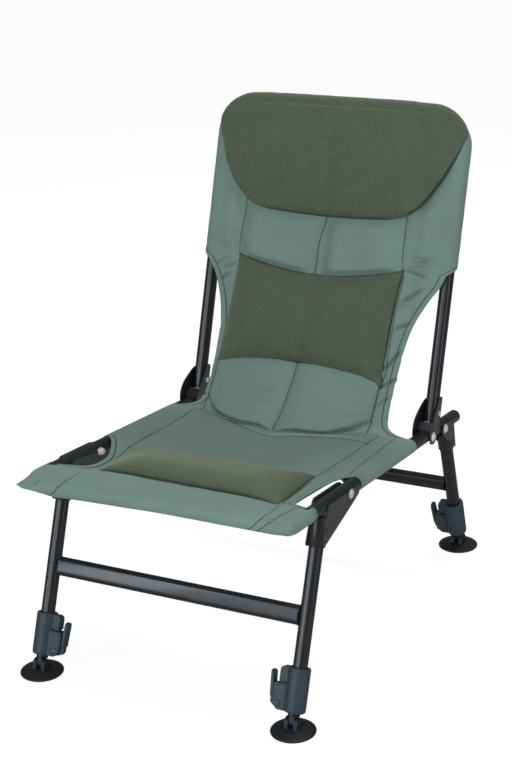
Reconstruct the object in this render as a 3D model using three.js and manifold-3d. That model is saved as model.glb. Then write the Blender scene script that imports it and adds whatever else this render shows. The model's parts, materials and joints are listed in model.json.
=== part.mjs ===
// Folding carp fishing chair: a slung, padded cover on a black tube frame,
// with a backrest that folds forward and four telescopic legs on mud feet.
// Millimetres, +Z up, the sitter looks towards -Y, origin under the middle.

import * as THREE from 'three';
import { mergeVertices } from 'three/addons/utils/BufferGeometryUtils.js';
import Module from 'manifold-3d';

const wasm = await Module();
wasm.setup();

// Driving dimensions: the tubes
const frame_width = 498;
const tube_radius = 12.5;
const tube_wall = 1.5;
const inner_tube_radius = 10.4;
const inner_tube_wall = 1.4;
const tube_sides = 12;
const pin_sides = 8;

// Driving dimensions: the seat frame
const seat_height = 368;
const seat_slope = 6;
const front_tube_station = 4;
const rail_end_station = 742;
const rail_bend_radius = 38;

// Driving dimensions: the backrest
const back_pivot_station = 591;
const back_tilt = 18.7;
const back_setback = 18.6;
const back_tube_start = 26;
const back_height = 603;
const back_bend_radius = 62;

// Driving dimensions: the legs
const front_pivot_station = 213;
const front_leg_setforward = 82;
const front_leg_tilt = 21.2;
const front_crossbar_height = 183;
const rear_pivot_station = 654.6;
const rear_leg_setback = 27;
const rear_leg_tilt = 16.8;
const rear_crossbar_height = 150;
const front_crossbar_depth = 34;
const rear_crossbar_depth = 31;
const crossbar_thickness = 19;
const leg_travel = 110;
const leg_overlap = 68;
const foot_pin_height = 18;

// Driving dimensions: the cover
const cloth_thickness = 3.6;
const seat_fill = 9;
const back_fill = 10;
const notch_front = 85;
const notch_rear = 266;
const notch_depth = 48;
const side_sleeve_end = 514;
const crease_station = 440;
const crease_drop = 6;
const back_sleeve_start = 309;

// Clearances
const touch_gap = 0.3;
const running_gap = 0.5;
const cut_overrun = 2;

// Finishes
const black_steel = finish(0x16171a, 0.42, 0.55);
const grey_steel = finish(0x4b4f52, 0.5, 0.6);
const zinc = finish(0xb9bcc0, 0.35, 0.9);
const blue_grey_plastic = finish(0x2c3338, 0.55, 0);
const black_plastic = finish(0x1d1b1a, 0.6, 0);
const sage_polyester = finish(0x647a72, 0.75, 0);
const olive_fleece = finish(0x596150, 0.95, 0);

function finish(color, roughness, metalness) {
  return new THREE.MeshStandardMaterial({ color, roughness, metalness });
}

// Small helpers: angles, blends and outlines
const radians = THREE.MathUtils.degToRad;
const ex = new THREE.Vector3(1, 0, 0);
const ey = new THREE.Vector3(0, 1, 0);
const ez = new THREE.Vector3(0, 0, 1);

function point(x, y, z) {
  return new THREE.Vector3(x, y, z);
}

// A value read from [position, value] rows, eased between them
function between(rows, position) {
  let low = rows[0];
  for (const high of rows) {
    if (position <= high[0]) {
      if (high[0] === low[0]) {
        return high[1];
      }
      const share = (position - low[0]) / (high[0] - low[0]);
      const eased = share * share * (3 - 2 * share);
      return low[1] + (high[1] - low[1]) * Math.max(eased, 0);
    }
    low = high;
  }
  return low[1];
}

function circle(radius, sides = tube_sides) {
  const corners = [];
  for (let k = 0; k < sides; k += 1) {
    const angle = 2 * Math.PI * (k + 0.5) / sides;
    corners.push(new THREE.Vector2(radius * Math.cos(angle), radius * Math.sin(angle)));
  }
  return corners;
}

function ring(outer_radius, inner_radius, sides = tube_sides) {
  const shape = new THREE.Shape(circle(outer_radius, sides));
  shape.holes.push(new THREE.Path(circle(inner_radius, sides)));
  return shape;
}

// An outline of corners [x, y, rounding]
function rounded(corners) {
  const shape = new THREE.Shape();
  const count = corners.length;
  corners.forEach((corner, k) => {
    const here = new THREE.Vector2(corner[0], corner[1]);
    const before = corners[(k + count - 1) % count];
    const after = corners[(k + 1) % count];
    const into = new THREE.Vector2(before[0], before[1]).sub(here);
    const out = new THREE.Vector2(after[0], after[1]).sub(here);
    const reach = Math.min(corner[2], into.length() / 2, out.length() / 2);
    const start = here.clone().addScaledVector(into.normalize(), reach);
    const end = here.clone().addScaledVector(out.normalize(), reach);
    if (k === 0) {
      shape.moveTo(start.x, start.y);
    } else {
      shape.lineTo(start.x, start.y);
    }
    if (reach > 0) {
      shape.quadraticCurveTo(here.x, here.y, end.x, end.y);
    }
  });
  shape.closePath();
  return shape;
}

// Solids: extrusions along Z, plates across X, turned pieces
function extruded(shape, from, to, curveSegments = 3) {
  const options = { depth: to - from, bevelEnabled: false, curveSegments };
  return new THREE.ExtrudeGeometry(shape, options).translate(0, 0, from);
}

// A plate drawn in (y, z) with its thickness between two values of x
function plate(shape, from, to) {
  const turn = new THREE.Matrix4().makeBasis(ey, ez, ex);
  return extruded(shape, Math.min(from, to), Math.max(from, to)).applyMatrix4(turn);
}

// A profile of [radius, height] turned around Z, its corners in line with those of circle
function turned(profile, sides = tube_sides) {
  const corners = profile.map(([radius, height]) => new THREE.Vector2(radius, height));
  return new THREE.LatheGeometry(corners, sides).rotateX(Math.PI / 2).rotateZ(Math.PI / sides);
}

function box(from, to) {
  const size = to.clone().sub(from);
  const middle = to.clone().add(from).divideScalar(2);
  return new THREE.BoxGeometry(size.x, size.y, size.z).translate(middle.x, middle.y, middle.z);
}

// A cylinder along X between two values of x, around (y, z)
function cross_rod(radius, from, to, y, z, sides = pin_sides) {
  return plate(new THREE.Shape(circle(radius, sides)), from, to).translate(0, y, z);
}

// A section carried along a flat route; side is the route plane's normal
function swept(shape, route, side) {
  const steps = route.length - 1;
  const options = { depth: steps, steps, bevelEnabled: false };
  const geometry = new THREE.ExtrudeGeometry(shape, options);
  const places = geometry.attributes.position;
  const frames = route.map((here, k) => {
    const before = route[Math.max(k - 1, 0)];
    const after = route[Math.min(k + 1, steps)];
    const into = here.clone().sub(before).normalize();
    const out = after.clone().sub(here).normalize();
    const along = into.add(out).normalize();
    return { here, across: side.clone().cross(along).normalize() };
  });
  for (let k = 0; k < places.count; k += 1) {
    const frame = frames[Math.round(places.getZ(k))];
    const spot = frame.here.clone();
    spot.addScaledVector(frame.across, places.getX(k));
    spot.addScaledVector(side, places.getY(k));
    places.setXYZ(k, spot.x, spot.y, spot.z);
  }
  return geometry;
}

// A closed block whose points are placed one by one: u across, v along, w through
function formed(columns, rows, place) {
  const geometry = new THREE.BoxGeometry(2, 1, 1, columns, rows, 1);
  const places = geometry.attributes.position;
  for (let k = 0; k < places.count; k += 1) {
    const spot = place(places.getX(k), places.getY(k) + 0.5, places.getZ(k) + 0.5);
    places.setXYZ(k, spot.x, spot.y, spot.z);
  }
  return geometry;
}

// Boolean work
function solid(geometry) {
  const bare = geometry.clone();
  for (const name of Object.keys(bare.attributes)) {
    if (name !== 'position') {
      bare.deleteAttribute(name);
    }
  }
  const merged = mergeVertices(bare, 0.0001 * tube_radius);
  const mesh = new wasm.Mesh({
    numProp: 3,
    vertProperties: new Float32Array(merged.attributes.position.array),
    triVerts: new Uint32Array(merged.index.array),
  });
  return new wasm.Manifold(mesh);
}

function geometry_of(manifold) {
  const mesh = manifold.getMesh();
  const geometry = new THREE.BufferGeometry();
  geometry.setAttribute('position', new THREE.BufferAttribute(mesh.vertProperties, 3));
  geometry.setIndex(new THREE.BufferAttribute(mesh.triVerts, 1));
  geometry.computeVertexNormals();
  return geometry;
}

function joined(...geometries) {
  return geometry_of(geometries.map(solid).reduce((whole, piece) => whole.add(piece)));
}

function cut(geometry, ...tools) {
  const start = solid(geometry);
  return geometry_of(tools.map(solid).reduce((whole, tool) => whole.subtract(tool), start));
}

// The other hand of a piece, with its faces still pointing out
function mirrored(geometry) {
  const flipped = geometry.clone().scale(-1, 1, 1);
  const order = flipped.index.array;
  for (let k = 0; k < order.length; k += 3) {
    [order[k], order[k + 1]] = [order[k + 1], order[k]];
  }
  flipped.computeVertexNormals();
  return flipped;
}

function lifted(geometry, place) {
  return geometry.clone().translate(...place);
}

// The groups of the chair, each turned to its own tubes
const chair = new THREE.Group();
const frame_half = frame_width / 2;
const slope_angle = radians(seat_slope);
const back_angle = radians(back_tilt);
const front_leg_angle = radians(front_leg_tilt);
const rear_leg_angle = radians(rear_leg_tilt);
const sides = [['left', -1], ['right', 1]];

function rail_place(station) {
  const y = station * Math.cos(slope_angle);
  return point(0, y, seat_height - station * Math.sin(slope_angle));
}

function group_at(place, turn, parent = chair) {
  const group = new THREE.Group();
  group.position.copy(place);
  group.rotation.x = turn;
  parent.add(group);
  return group;
}

function add(parent, name, geometry, material) {
  const mesh = new THREE.Mesh(geometry, material);
  mesh.name = name;
  parent.add(mesh);
  return mesh;
}

// In seat_group +Y runs rearwards along the rails and +Z is square to them
const seat_group = group_at(rail_place(0), -slope_angle);
// In back_group +Z runs up the back tubes and the origin is the fold pivot
const back_group = group_at(rail_place(back_pivot_station), -back_angle);
// In a leg group +Z runs up the leg tubes and the origin is the leg's pivot
const front_group = group_at(rail_place(front_pivot_station), -front_leg_angle);
const rear_group = group_at(rail_place(rear_pivot_station), rear_leg_angle);

// Bolts: a domed head, a shank across X and a hexagon nut
const pivot_bolt_radius = 4;
const bolt_head_radius = 7.5;
const bolt_head_height = 4;
const nut_radius = 7;
const nut_height = 5.5;
const rivet_radius = 2.8;
const plate_thickness = 2.6;
const plate_inset = tube_radius + running_gap;
const plate_outset = plate_inset + plate_thickness;

function bolt(radius, head_radius, head_height, from, to, sides = pin_sides) {
  const profile = [
    [0, from - head_height],
    [0.55 * head_radius, from - head_height],
    [head_radius, from - 0.35 * head_height],
    [head_radius, from],
    [radius, from],
    [radius, to],
    [0, to],
  ];
  return turned(profile, sides).rotateY(Math.PI / 2);
}

function nut(from) {
  const flats = new THREE.Shape(circle(nut_radius, 6));
  return extruded(flats, 0, nut_height).rotateY(Math.PI / 2).translate(from, 0, 0);
}

// A pivot bolt with its nut run home, on one side of the chair, head outwards
function pivot_bolt(side) {
  const outer = plate_outset + touch_gap;
  const end = outer + nut_height + touch_gap;
  const head = [bolt_head_radius, bolt_head_height];
  const shank = bolt(pivot_bolt_radius, ...head, -outer, end, tube_sides);
  const pair = joined(shank, nut(outer));
  return pair.rotateZ(side > 0 ? Math.PI : 0).translate(side * frame_half, 0, 0);
}

// Seat frame: two rails bent in at the front, and the tube between them
const rail_tube = ring(tube_radius, tube_radius - tube_wall);
const bend_steps = 4;
const joint_stub = 6;

function bend(middle, radius, from, to, axis_a, axis_b) {
  const route = [];
  for (let k = 0; k <= bend_steps; k += 1) {
    const angle = from + (to - from) * k / bend_steps;
    const spot = middle.clone();
    spot.addScaledVector(axis_a, radius * Math.cos(angle));
    spot.addScaledVector(axis_b, radius * Math.sin(angle));
    route.push(spot);
  }
  return route;
}

function bolt_hole(station) {
  const reach = frame_half + tube_radius + cut_overrun;
  const radius = pivot_bolt_radius + touch_gap;
  return cross_rod(radius, -reach, reach, station, 0, tube_sides);
}

const rail_stations = [front_pivot_station, back_pivot_station, rear_pivot_station];

for (const [name, side] of sides) {
  const middle_x = side * (frame_half - rail_bend_radius);
  const middle = point(middle_x, front_tube_station + rail_bend_radius, 0);
  const inwards = ex.clone().multiplyScalar(side);
  const corner = bend(middle, rail_bend_radius, 0, -Math.PI / 2, inwards, ey);
  const end = point(middle_x - side * joint_stub, front_tube_station, 0);
  const route = [point(side * frame_half, rail_end_station, 0), ...corner, end];
  const tube = swept(rail_tube, route, ez);
  add(seat_group, `seat_rail_${name}`, cut(tube, ...rail_stations.map(bolt_hole)), black_steel);
}

const front_tube_half = frame_half - rail_bend_radius - joint_stub - touch_gap;
const front_tube = swept(
  rail_tube,
  [point(-front_tube_half, front_tube_station, 0), point(front_tube_half, front_tube_station, 0)],
  ez,
);
add(seat_group, 'seat_front_tube', front_tube, black_steel);

// Push-in caps in the open rear ends of the rails
const cap_length = 14;
const cap_brim = 4;

function tube_cap() {
  const plug_radius = tube_radius - tube_wall - touch_gap;
  return turned([
    [0, -cap_length],
    [plug_radius, -cap_length],
    [plug_radius, touch_gap],
    [tube_radius, touch_gap],
    [tube_radius, cap_brim / 2],
    [0.7 * tube_radius, cap_brim],
    [0, cap_brim],
  ]);
}

for (const [name, side] of sides) {
  const cap = tube_cap().rotateX(-Math.PI / 2).translate(side * frame_half, rail_end_station, 0);
  add(seat_group, `rail_cap_${name}`, cap, black_plastic);
  add(seat_group, `hinge_bolt_${name}`, pivot_bolt(side).translate(0, back_pivot_station, 0), zinc);
}

// Stop blocks on the rails, on which the foot of each back tube rests
const stop_width = 24;
const stop_front = -9;
const stop_rear = 27;
const stop_low = 4;
const stop_nose = 15;
const lean_angle = back_angle + slope_angle;
const rest_face = back_tube_start - touch_gap;

// The point of the rest face at a distance behind the pivot, in seat axes
function rest_face_at(distance) {
  const rise = (rest_face - distance * Math.sin(lean_angle)) / Math.cos(lean_angle);
  return rise;
}

const stop_outline = rounded([
  [stop_front, stop_low, 0],
  [stop_rear, stop_low, 0],
  [stop_rear, rest_face_at(stop_rear), 0],
  [stop_front + stop_nose, rest_face_at(stop_front + stop_nose), 0],
  [stop_front, tube_radius + tube_wall, 0],
]);
for (const [name, side] of sides) {
  const middle = side * frame_half;
  const block = plate(stop_outline, middle - stop_width / 2, middle + stop_width / 2);
  const rail = new THREE.Shape(circle(tube_radius + touch_gap));
  const bore = extruded(rail, stop_front - cut_overrun, stop_rear + cut_overrun);
  bore.rotateX(-Math.PI / 2).translate(middle, 0, 0);
  const stop = cut(block, bore).translate(0, back_pivot_station, 0);
  add(seat_group, `hinge_stop_${name}`, stop, black_plastic);
}

// Backrest tubes, each with its upper bend and lower plug, and the tube across the top
const back_bend_start = back_height - back_bend_radius;
const hinge_rivet_rise = 44;
const plug_length = 24;
const plug_lift = 1.5;

function hole_at(radius, y, z, sides) {
  const reach = plate_outset + cut_overrun;
  return cross_rod(radius, -reach, reach, y, z, sides);
}

// The rivet of the hinge plates passes through the back tube and its plug
function rivet_hole(side) {
  const hole = hole_at(rivet_radius + touch_gap, back_setback, hinge_rivet_rise);
  return hole.translate(side * frame_half, 0, 0);
}

for (const [name, side] of sides) {
  const middle_x = side * (frame_half - back_bend_radius);
  const middle = point(middle_x, back_setback, back_bend_start);
  const inwards = ex.clone().multiplyScalar(side);
  const corner = bend(middle, back_bend_radius, 0, Math.PI / 2, inwards, ez);
  const end = point(middle_x - side * joint_stub, back_setback, back_height);
  const route = [point(side * frame_half, back_setback, back_tube_start), ...corner, end];
  const tube = cut(swept(rail_tube, route, ey), rivet_hole(side));
  add(back_group, `back_tube_${name}`, tube, black_steel);
  const plug = new THREE.Shape(circle(tube_radius - tube_wall - touch_gap));
  const from = back_tube_start + plug_lift;
  const block = extruded(plug, from, from + plug_length);
  const plugged = cut(block.translate(side * frame_half, back_setback, 0), rivet_hole(side));
  add(back_group, `back_tube_plug_${name}`, plugged, black_plastic);
}

const top_tube_half = frame_half - back_bend_radius - joint_stub - touch_gap;
const top_tube = swept(
  rail_tube,
  [point(-top_tube_half, back_setback, back_height), point(top_tube_half, back_setback, back_height)],
  ey,
);
add(back_group, 'back_top_tube', top_tube, black_steel);

// Hinge plates: a long grey one on the right of each tube, a black lobed one on the left
const boss_radius = 15;
const grey_plate_rise = 76;
const lobe_reach = 31;

// Outlines in the axes of the back tubes, with the pivot at the origin
const grey_outline = rounded([
  [-0.75 * boss_radius, -boss_radius, 0.7 * boss_radius],
  [0.95 * boss_radius, -boss_radius, 0.7 * boss_radius],
  [back_setback + 0.75 * tube_radius, boss_radius, 0.4 * boss_radius],
  [back_setback + 0.75 * tube_radius, grey_plate_rise, 0.4 * boss_radius],
  [back_setback - 0.1 * tube_radius, grey_plate_rise, 0.4 * boss_radius],
  [-0.8 * boss_radius, 0.7 * boss_radius, 0.6 * boss_radius],
]);
const lobe_outline = rounded([
  [-0.6 * lobe_reach, -0.55 * lobe_reach, 0.4 * lobe_reach],
  [0.5 * lobe_reach, -0.5 * lobe_reach, 0.35 * lobe_reach],
  [back_setback + 0.2 * tube_radius, 0.9 * boss_radius, 0.4 * boss_radius],
  [back_setback + 0.9 * tube_radius, 1.2 * hinge_rivet_rise, 0.4 * boss_radius],
  [back_setback + 0.7 * tube_radius, 1.62 * hinge_rivet_rise, 0.4 * boss_radius],
  [0.55 * back_setback, 1.5 * hinge_rivet_rise, 0.7 * boss_radius],
  [-0.85 * lobe_reach, 1.15 * lobe_reach, 0.45 * lobe_reach],
  [-1.12 * lobe_reach, 0.3 * lobe_reach, 0.4 * lobe_reach],
]);

const hinge_holes = [
  hole_at(pivot_bolt_radius + touch_gap, 0, 0, tube_sides),
  hole_at(rivet_radius + touch_gap, back_setback, hinge_rivet_rise),
];
for (const [name, side] of sides) {
  const middle = side * frame_half;
  const grey = cut(plate(grey_outline, plate_inset, plate_outset), ...hinge_holes);
  const lobed = cut(plate(lobe_outline, -plate_outset, -plate_inset), ...hinge_holes);
  add(back_group, `hinge_plate_${name}`, grey.translate(middle, 0, 0), grey_steel);
  add(back_group, `hinge_arm_${name}`, lobed.translate(middle, 0, 0), black_steel);
  const reach = plate_outset + touch_gap;
  const rivet = joined(
    bolt(rivet_radius, 2 * rivet_radius, rivet_radius, -reach, reach + rivet_radius / 2),
    bolt(rivet_radius, 2 * rivet_radius, rivet_radius, -reach, 0).rotateZ(Math.PI),
  );
  add(back_group, `hinge_rivet_${name}`, rivet.translate(middle, back_setback, hinge_rivet_rise),
    zinc);
}

// Where each leg stands: its tube runs down from under the rail to the foot pin
function leg_layout(station, offset, angle, lean) {
  const pivot = rail_place(station);
  const drop = (pivot.z + offset * Math.sin(angle) - foot_pin_height) / Math.cos(angle);
  const rail_angle = lean > 0 ? angle - slope_angle : angle + slope_angle;
  const under_rail = (tube_radius + touch_gap) / Math.cos(rail_angle);
  const corner = tube_radius * Math.tan(rail_angle);
  const top = -offset * Math.tan(rail_angle) - under_rail - corner;
  return { y: -lean * offset, top, drop, rail_angle: lean * rail_angle };
}

const front_leg = leg_layout(front_pivot_station, front_leg_setforward, front_leg_angle, 1);
const rear_leg = leg_layout(rear_pivot_station, rear_leg_setback, rear_leg_angle, -1);

// Clamp: a plastic sleeve on the leg's foot, with the screw of its cam lever
const clamp_radius = 20;
const clamp_length = 84;
const clamp_lift = 11;
const clamp_seat = 18;
const clamp_wall = 3;
const housing_half = 12;
const housing_reach = 40;
const housing_height = 50;
const ear_reach = 31;
const ear_low = 57;
const ear_high = 82;
const ear_half = 8;
const slot_half = 5.5;
const slot_depth = 17;
const slot_height = 34;
const lever_pin_reach = 34;
const lever_pin_height = 17;
const lever_pin_radius = 2.5;
const lever_boss_radius = 8;
const lever_half = 8.5;
const lever_thickness = 6;
const lever_length = 58;
const lever_lean = 4;

// The clamp's own axes: origin at the sleeve's foot, +X towards the chair's middle
function clamp_body() {
  const bore_low = inner_tube_radius + running_gap;
  const bore_high = tube_radius + touch_gap;
  const sleeve = turned([
    [bore_low, 0],
    [0.94 * clamp_radius, 0],
    [clamp_radius, clamp_wall],
    [clamp_radius, clamp_length - clamp_wall],
    [0.94 * clamp_radius, clamp_length],
    [bore_high, clamp_length],
    [bore_high, clamp_seat],
    [bore_low, clamp_seat],
    [bore_low, 0],
  ]);
  const housing = plate_y(rounded([
    [bore_high + clamp_wall, clamp_wall, 0],
    [0.8 * housing_reach, clamp_wall, 0],
    [housing_reach, 0.2 * housing_height, 0],
    [housing_reach, housing_height, 0.1 * housing_height],
    [bore_high + clamp_wall, housing_height, 0],
  ]), housing_half);
  const ear = plate_y(rounded([
    [bore_high + clamp_wall, ear_low, 0],
    [ear_reach, ear_low + clamp_wall, 0.1 * ear_reach],
    [ear_reach, ear_high, 0.1 * ear_reach],
    [bore_high + clamp_wall, ear_high, 0],
  ]), ear_half);
  const slot = box(
    point(housing_reach - slot_depth, -slot_half, -cut_overrun),
    point(housing_reach + cut_overrun, slot_half, slot_height),
  );
  const head_radius = 1.8 * lever_pin_radius;
  const screw = bolt(lever_pin_radius, head_radius, lever_pin_radius, -housing_half, housing_half);
  screw.rotateZ(Math.PI / 2).translate(lever_pin_reach, 0, lever_pin_height);
  return joined(cut(joined(sleeve, housing, ear), slot), screw);
}

// A plate drawn in (x, z), as thick as twice its half width in y
function plate_y(shape, half) {
  return extruded(shape, -half, half).rotateX(Math.PI / 2);
}

function pin_rod(radius, half) {
  const rod = plate_y(new THREE.Shape(circle(radius, pin_sides)), half);
  return rod.translate(lever_pin_reach, 0, lever_pin_height);
}

function clamp_lever() {
  const root = housing_reach + 1.5 * running_gap;
  const lean = lever_length * Math.tan(radians(lever_lean));
  const fillet = 0.4 * lever_boss_radius;
  const neck = plate_y(rounded([
    [lever_pin_reach - lever_boss_radius, lever_pin_height - 0.6 * lever_boss_radius, fillet],
    [lever_pin_reach + 0.4 * lever_boss_radius, lever_pin_height - lever_boss_radius, fillet],
    [root + lever_thickness, lever_pin_height - 0.2 * lever_boss_radius, fillet],
    [root + lever_thickness, lever_pin_height + 1.4 * lever_boss_radius, 0],
    [root, lever_pin_height + 1.4 * lever_boss_radius, 0],
    [lever_pin_reach - lever_boss_radius, lever_pin_height + 0.6 * lever_boss_radius, fillet],
  ]), slot_half - running_gap);
  const paddle = plate_y(rounded([
    [root, lever_pin_height + lever_boss_radius, 0],
    [root + lever_thickness, lever_pin_height + lever_boss_radius, 0.3 * lever_thickness],
    [root + lever_thickness + lean, lever_pin_height + lever_length, 0.5 * lever_thickness],
    [root + 0.4 * lever_thickness + lean, lever_pin_height + lever_length, 0.4 * lever_thickness],
  ]), lever_half);
  return cut(joined(neck, paddle), pin_rod(lever_pin_radius + touch_gap, housing_half));
}

// The telescopic inner leg, its knuckle with the foot pin, and the mud foot
const inner_leg_length = leg_travel + leg_overlap;
const tongue_half = 4.5;
const tongue_radius = 8;
const knuckle_rise = 9.6;
const flange_thickness = 2.4;
const knuckle_plug_length = 16;
const foot_radius = 39;
const foot_rim = 4;
const foot_dome = 6.5;
const foot_hub_radius = 19;
const lug_thickness = 5;
const lug_radius = 7.2;
const lug_foot_half = 12;
const foot_pin_radius = 2.6;
const disc_sides = 16;

function inner_leg(bottom) {
  const tube = ring(inner_tube_radius, inner_tube_radius - inner_tube_wall);
  return extruded(tube, bottom, bottom + inner_leg_length);
}

function foot_pin() {
  const half = tongue_half + running_gap + lug_thickness + touch_gap;
  const head = 1.7 * foot_pin_radius;
  const rod = bolt(foot_pin_radius, head, foot_pin_radius, -half, half);
  const cap = bolt(foot_pin_radius, head, foot_pin_radius, -half, 0).rotateZ(Math.PI);
  return joined(rod, cap);
}

// The knuckle's own axes: origin at the foot pin, +Z up the leg
function knuckle() {
  const plug_radius = inner_tube_radius - inner_tube_wall - touch_gap;
  const plug = turned([
    [0, knuckle_rise],
    [inner_tube_radius, knuckle_rise],
    [inner_tube_radius, knuckle_rise + flange_thickness],
    [plug_radius, knuckle_rise + flange_thickness],
    [plug_radius, knuckle_rise + knuckle_plug_length],
    [0, knuckle_rise + knuckle_plug_length],
  ]);
  const tongue = plate(rounded([
    [-tongue_radius, -tongue_radius, 0.8 * tongue_radius],
    [tongue_radius, -tongue_radius, 0.8 * tongue_radius],
    [tongue_radius, knuckle_rise + flange_thickness / 2, 0],
    [-tongue_radius, knuckle_rise + flange_thickness / 2, 0],
  ]), -tongue_half, tongue_half);
  return joined(plug, tongue, foot_pin());
}

// The foot's own axes: origin at the foot pin, +Z up
function mud_foot() {
  const floor = -foot_pin_height;
  const disc = turned([
    [0, floor],
    [foot_radius, floor],
    [foot_radius, floor + foot_rim],
    [foot_hub_radius, floor + foot_dome],
    [0, floor + foot_dome],
  ], disc_sides);
  const lug_in = tongue_half + running_gap;
  const lugs = sides.map(([, side]) => plate(rounded([
    [-lug_foot_half, floor + foot_rim, 0],
    [lug_foot_half, floor + foot_rim, 0],
    [lug_radius, 0, 0.5 * lug_radius],
    [lug_radius, lug_radius, 0.8 * lug_radius],
    [-lug_radius, lug_radius, 0.8 * lug_radius],
    [-lug_radius, 0, 0.5 * lug_radius],
  ]), side * lug_in, side * (lug_in + lug_thickness)));
  const hole = cross_rod(foot_pin_radius + touch_gap, -foot_radius, foot_radius, 0, 0);
  return cut(joined(disc, ...lugs), hole);
}

// Bracket: two cheeks beside the rail and a collar around the top of the leg
const collar_wall = 1.9;
const collar_length = 34;
const cheek_rise = 5;
const front_cheek_tail = 38;
const front_cheek_drop = 65;
const rear_cheek_nose = 13;
const rear_cheek_tail = 47;
const rear_cheek_drop = 54;
const leg_rivet_radius = 3;
const rivet_drop = 0.6 * collar_length;

// The cheeks are drawn along the rail, with the pivot at the origin
function cheek_outline(leg) {
  const lean = Math.tan(leg.rail_angle);
  const axis_at_rail = leg.y / Math.cos(leg.rail_angle);
  const axis_at = (drop) => axis_at_rail - drop * lean;
  if (leg === front_leg) {
    return rounded([
      [axis_at(front_cheek_drop) - 0.4 * tube_radius, -front_cheek_drop, 0.4 * tube_radius],
      [0.45 * front_cheek_tail, -3.4 * cheek_rise, 1.2 * tube_radius],
      [front_cheek_tail, -1.5 * cheek_rise, cheek_rise],
      [0.75 * front_cheek_tail, cheek_rise, 2 * cheek_rise],
      [axis_at(0) - 0.2 * tube_radius, cheek_rise, cheek_rise],
      [axis_at(0) - 0.8 * tube_radius, -2 * cheek_rise, cheek_rise],
    ]);
  }
  return rounded([
    [-0.6 * rear_cheek_nose, -2.4 * cheek_rise, cheek_rise],
    [axis_at(rear_cheek_drop) + 0.9 * tube_radius, -rear_cheek_drop, 0.4 * tube_radius],
    [rear_cheek_tail + 1.6 * cheek_rise, -5 * cheek_rise, tube_radius],
    [rear_cheek_tail, 0.6 * cheek_rise, cheek_rise],
    [-0.4 * rear_cheek_nose, cheek_rise + 0.4 * rear_cheek_nose, cheek_rise],
    [-rear_cheek_nose, 0, cheek_rise],
  ]);
}

function bracket(leg) {
  const outline = cheek_outline(leg);
  const cheeks = sides.map(([, side]) => {
    const cheek = plate(outline, side * plate_inset, side * plate_outset);
    return cheek.rotateX(leg.rail_angle);
  });
  const collar_bore = tube_radius + touch_gap;
  const section = ring(collar_bore + collar_wall, collar_bore);
  const collar_top = leg.top - touch_gap;
  const collar = extruded(section, collar_top - collar_length, collar_top).translate(0, leg.y, 0);
  const bore = new THREE.Shape(circle(collar_bore));
  const clear = extruded(bore, collar_top - 2 * collar_length, leg.top + cut_overrun);
  const reach = plate_outset + cut_overrun;
  const hole_radius = pivot_bolt_radius + touch_gap;
  const pivot_hole = cross_rod(hole_radius, -reach, reach, 0, 0, tube_sides);
  const body = cut(joined(...cheeks, collar), clear.translate(0, leg.y, 0), pivot_hole);
  const rivet = joined(...sides.map(([, side]) => {
    const head = [1.8 * leg_rivet_radius, 0.6 * leg_rivet_radius];
    const half = bolt(leg_rivet_radius, ...head, -plate_outset, 0);
    return half.rotateZ(side > 0 ? Math.PI : 0);
  }));
  return joined(body, rivet.translate(0, leg.y, leg.top - rivet_drop));
}

// One pair of folding legs: tubes, crossbar, brackets, bolts, clamps and feet
function leg_pair(name, group, leg, crossbar_height, crossbar_depth) {
  const pivot_height = group.position.z;
  const angle = Math.abs(group.rotation.x);
  const tube_foot = -leg.drop + clamp_lift + clamp_seat + touch_gap;
  const section = ring(tube_radius, tube_radius - tube_wall);
  const hole_radius = leg_rivet_radius + touch_gap;
  const hole = cross_rod(hole_radius, -frame_half, frame_half, 0, leg.top - rivet_drop);
  const leg_rise = Math.abs(leg.y) * Math.sin(angle);
  const bar_z = (crossbar_height - pivot_height - leg_rise) / Math.cos(angle);
  for (const [hand, side] of sides) {
    const middle = side * frame_half;
    const tube = cut(extruded(section, tube_foot, leg.top), hole);
    add(group, `${name}_leg_${hand}`, tube.translate(middle, leg.y, 0), black_steel);
    add(group, `${name}_bracket_${hand}`, bracket(leg).translate(middle, 0, 0), grey_steel);
    add(group, `${name}_pivot_bolt_${hand}`, pivot_bolt(side), zinc);
    const clamp_place = (geometry) => {
      const handed = side > 0 ? mirrored(geometry) : geometry;
      return handed.translate(middle, leg.y, -leg.drop + clamp_lift);
    };
    add(group, `${name}_clamp_${hand}`, clamp_place(clamp_body()), blue_grey_plastic);
    add(group, `${name}_lever_${hand}`, clamp_place(clamp_lever()), blue_grey_plastic);
    const inner_foot = -leg.drop + knuckle_rise + flange_thickness + touch_gap;
    add(group, `${name}_inner_leg_${hand}`, inner_leg(inner_foot).translate(middle, leg.y, 0),
      black_steel);
    const pin_place = point(middle, leg.y, -leg.drop);
    add(group, `${name}_knuckle_${hand}`, knuckle().translate(...pin_place), black_plastic);
    const foot_group = group_at(pin_place, -group.rotation.x, group);
    add(foot_group, `${name}_foot_${hand}`, mud_foot(), black_plastic);
  }
  const bar_half = frame_half - tube_radius - touch_gap;
  add(group, `${name}_crossbar`, crossbar(crossbar_depth, bar_half).translate(0, leg.y, bar_z),
    black_steel);
}

// A flat oval tube across the legs, taller along the leg than it is thick
function crossbar(depth, half) {
  const oval = (shrink) => rounded([
    [-crossbar_thickness / 2 + shrink, -depth / 2 + shrink, crossbar_thickness / 2],
    [crossbar_thickness / 2 - shrink, -depth / 2 + shrink, crossbar_thickness / 2],
    [crossbar_thickness / 2 - shrink, depth / 2 - shrink, crossbar_thickness / 2],
    [-crossbar_thickness / 2 + shrink, depth / 2 - shrink, crossbar_thickness / 2],
  ]);
  const section = oval(0);
  section.holes.push(new THREE.Path(oval(tube_wall).getPoints(3)));
  return plate(section, -half, half);
}

leg_pair('front', front_group, front_leg, front_crossbar_height, front_crossbar_depth);
leg_pair('rear', rear_group, rear_leg, rear_crossbar_height, rear_crossbar_depth);

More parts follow.
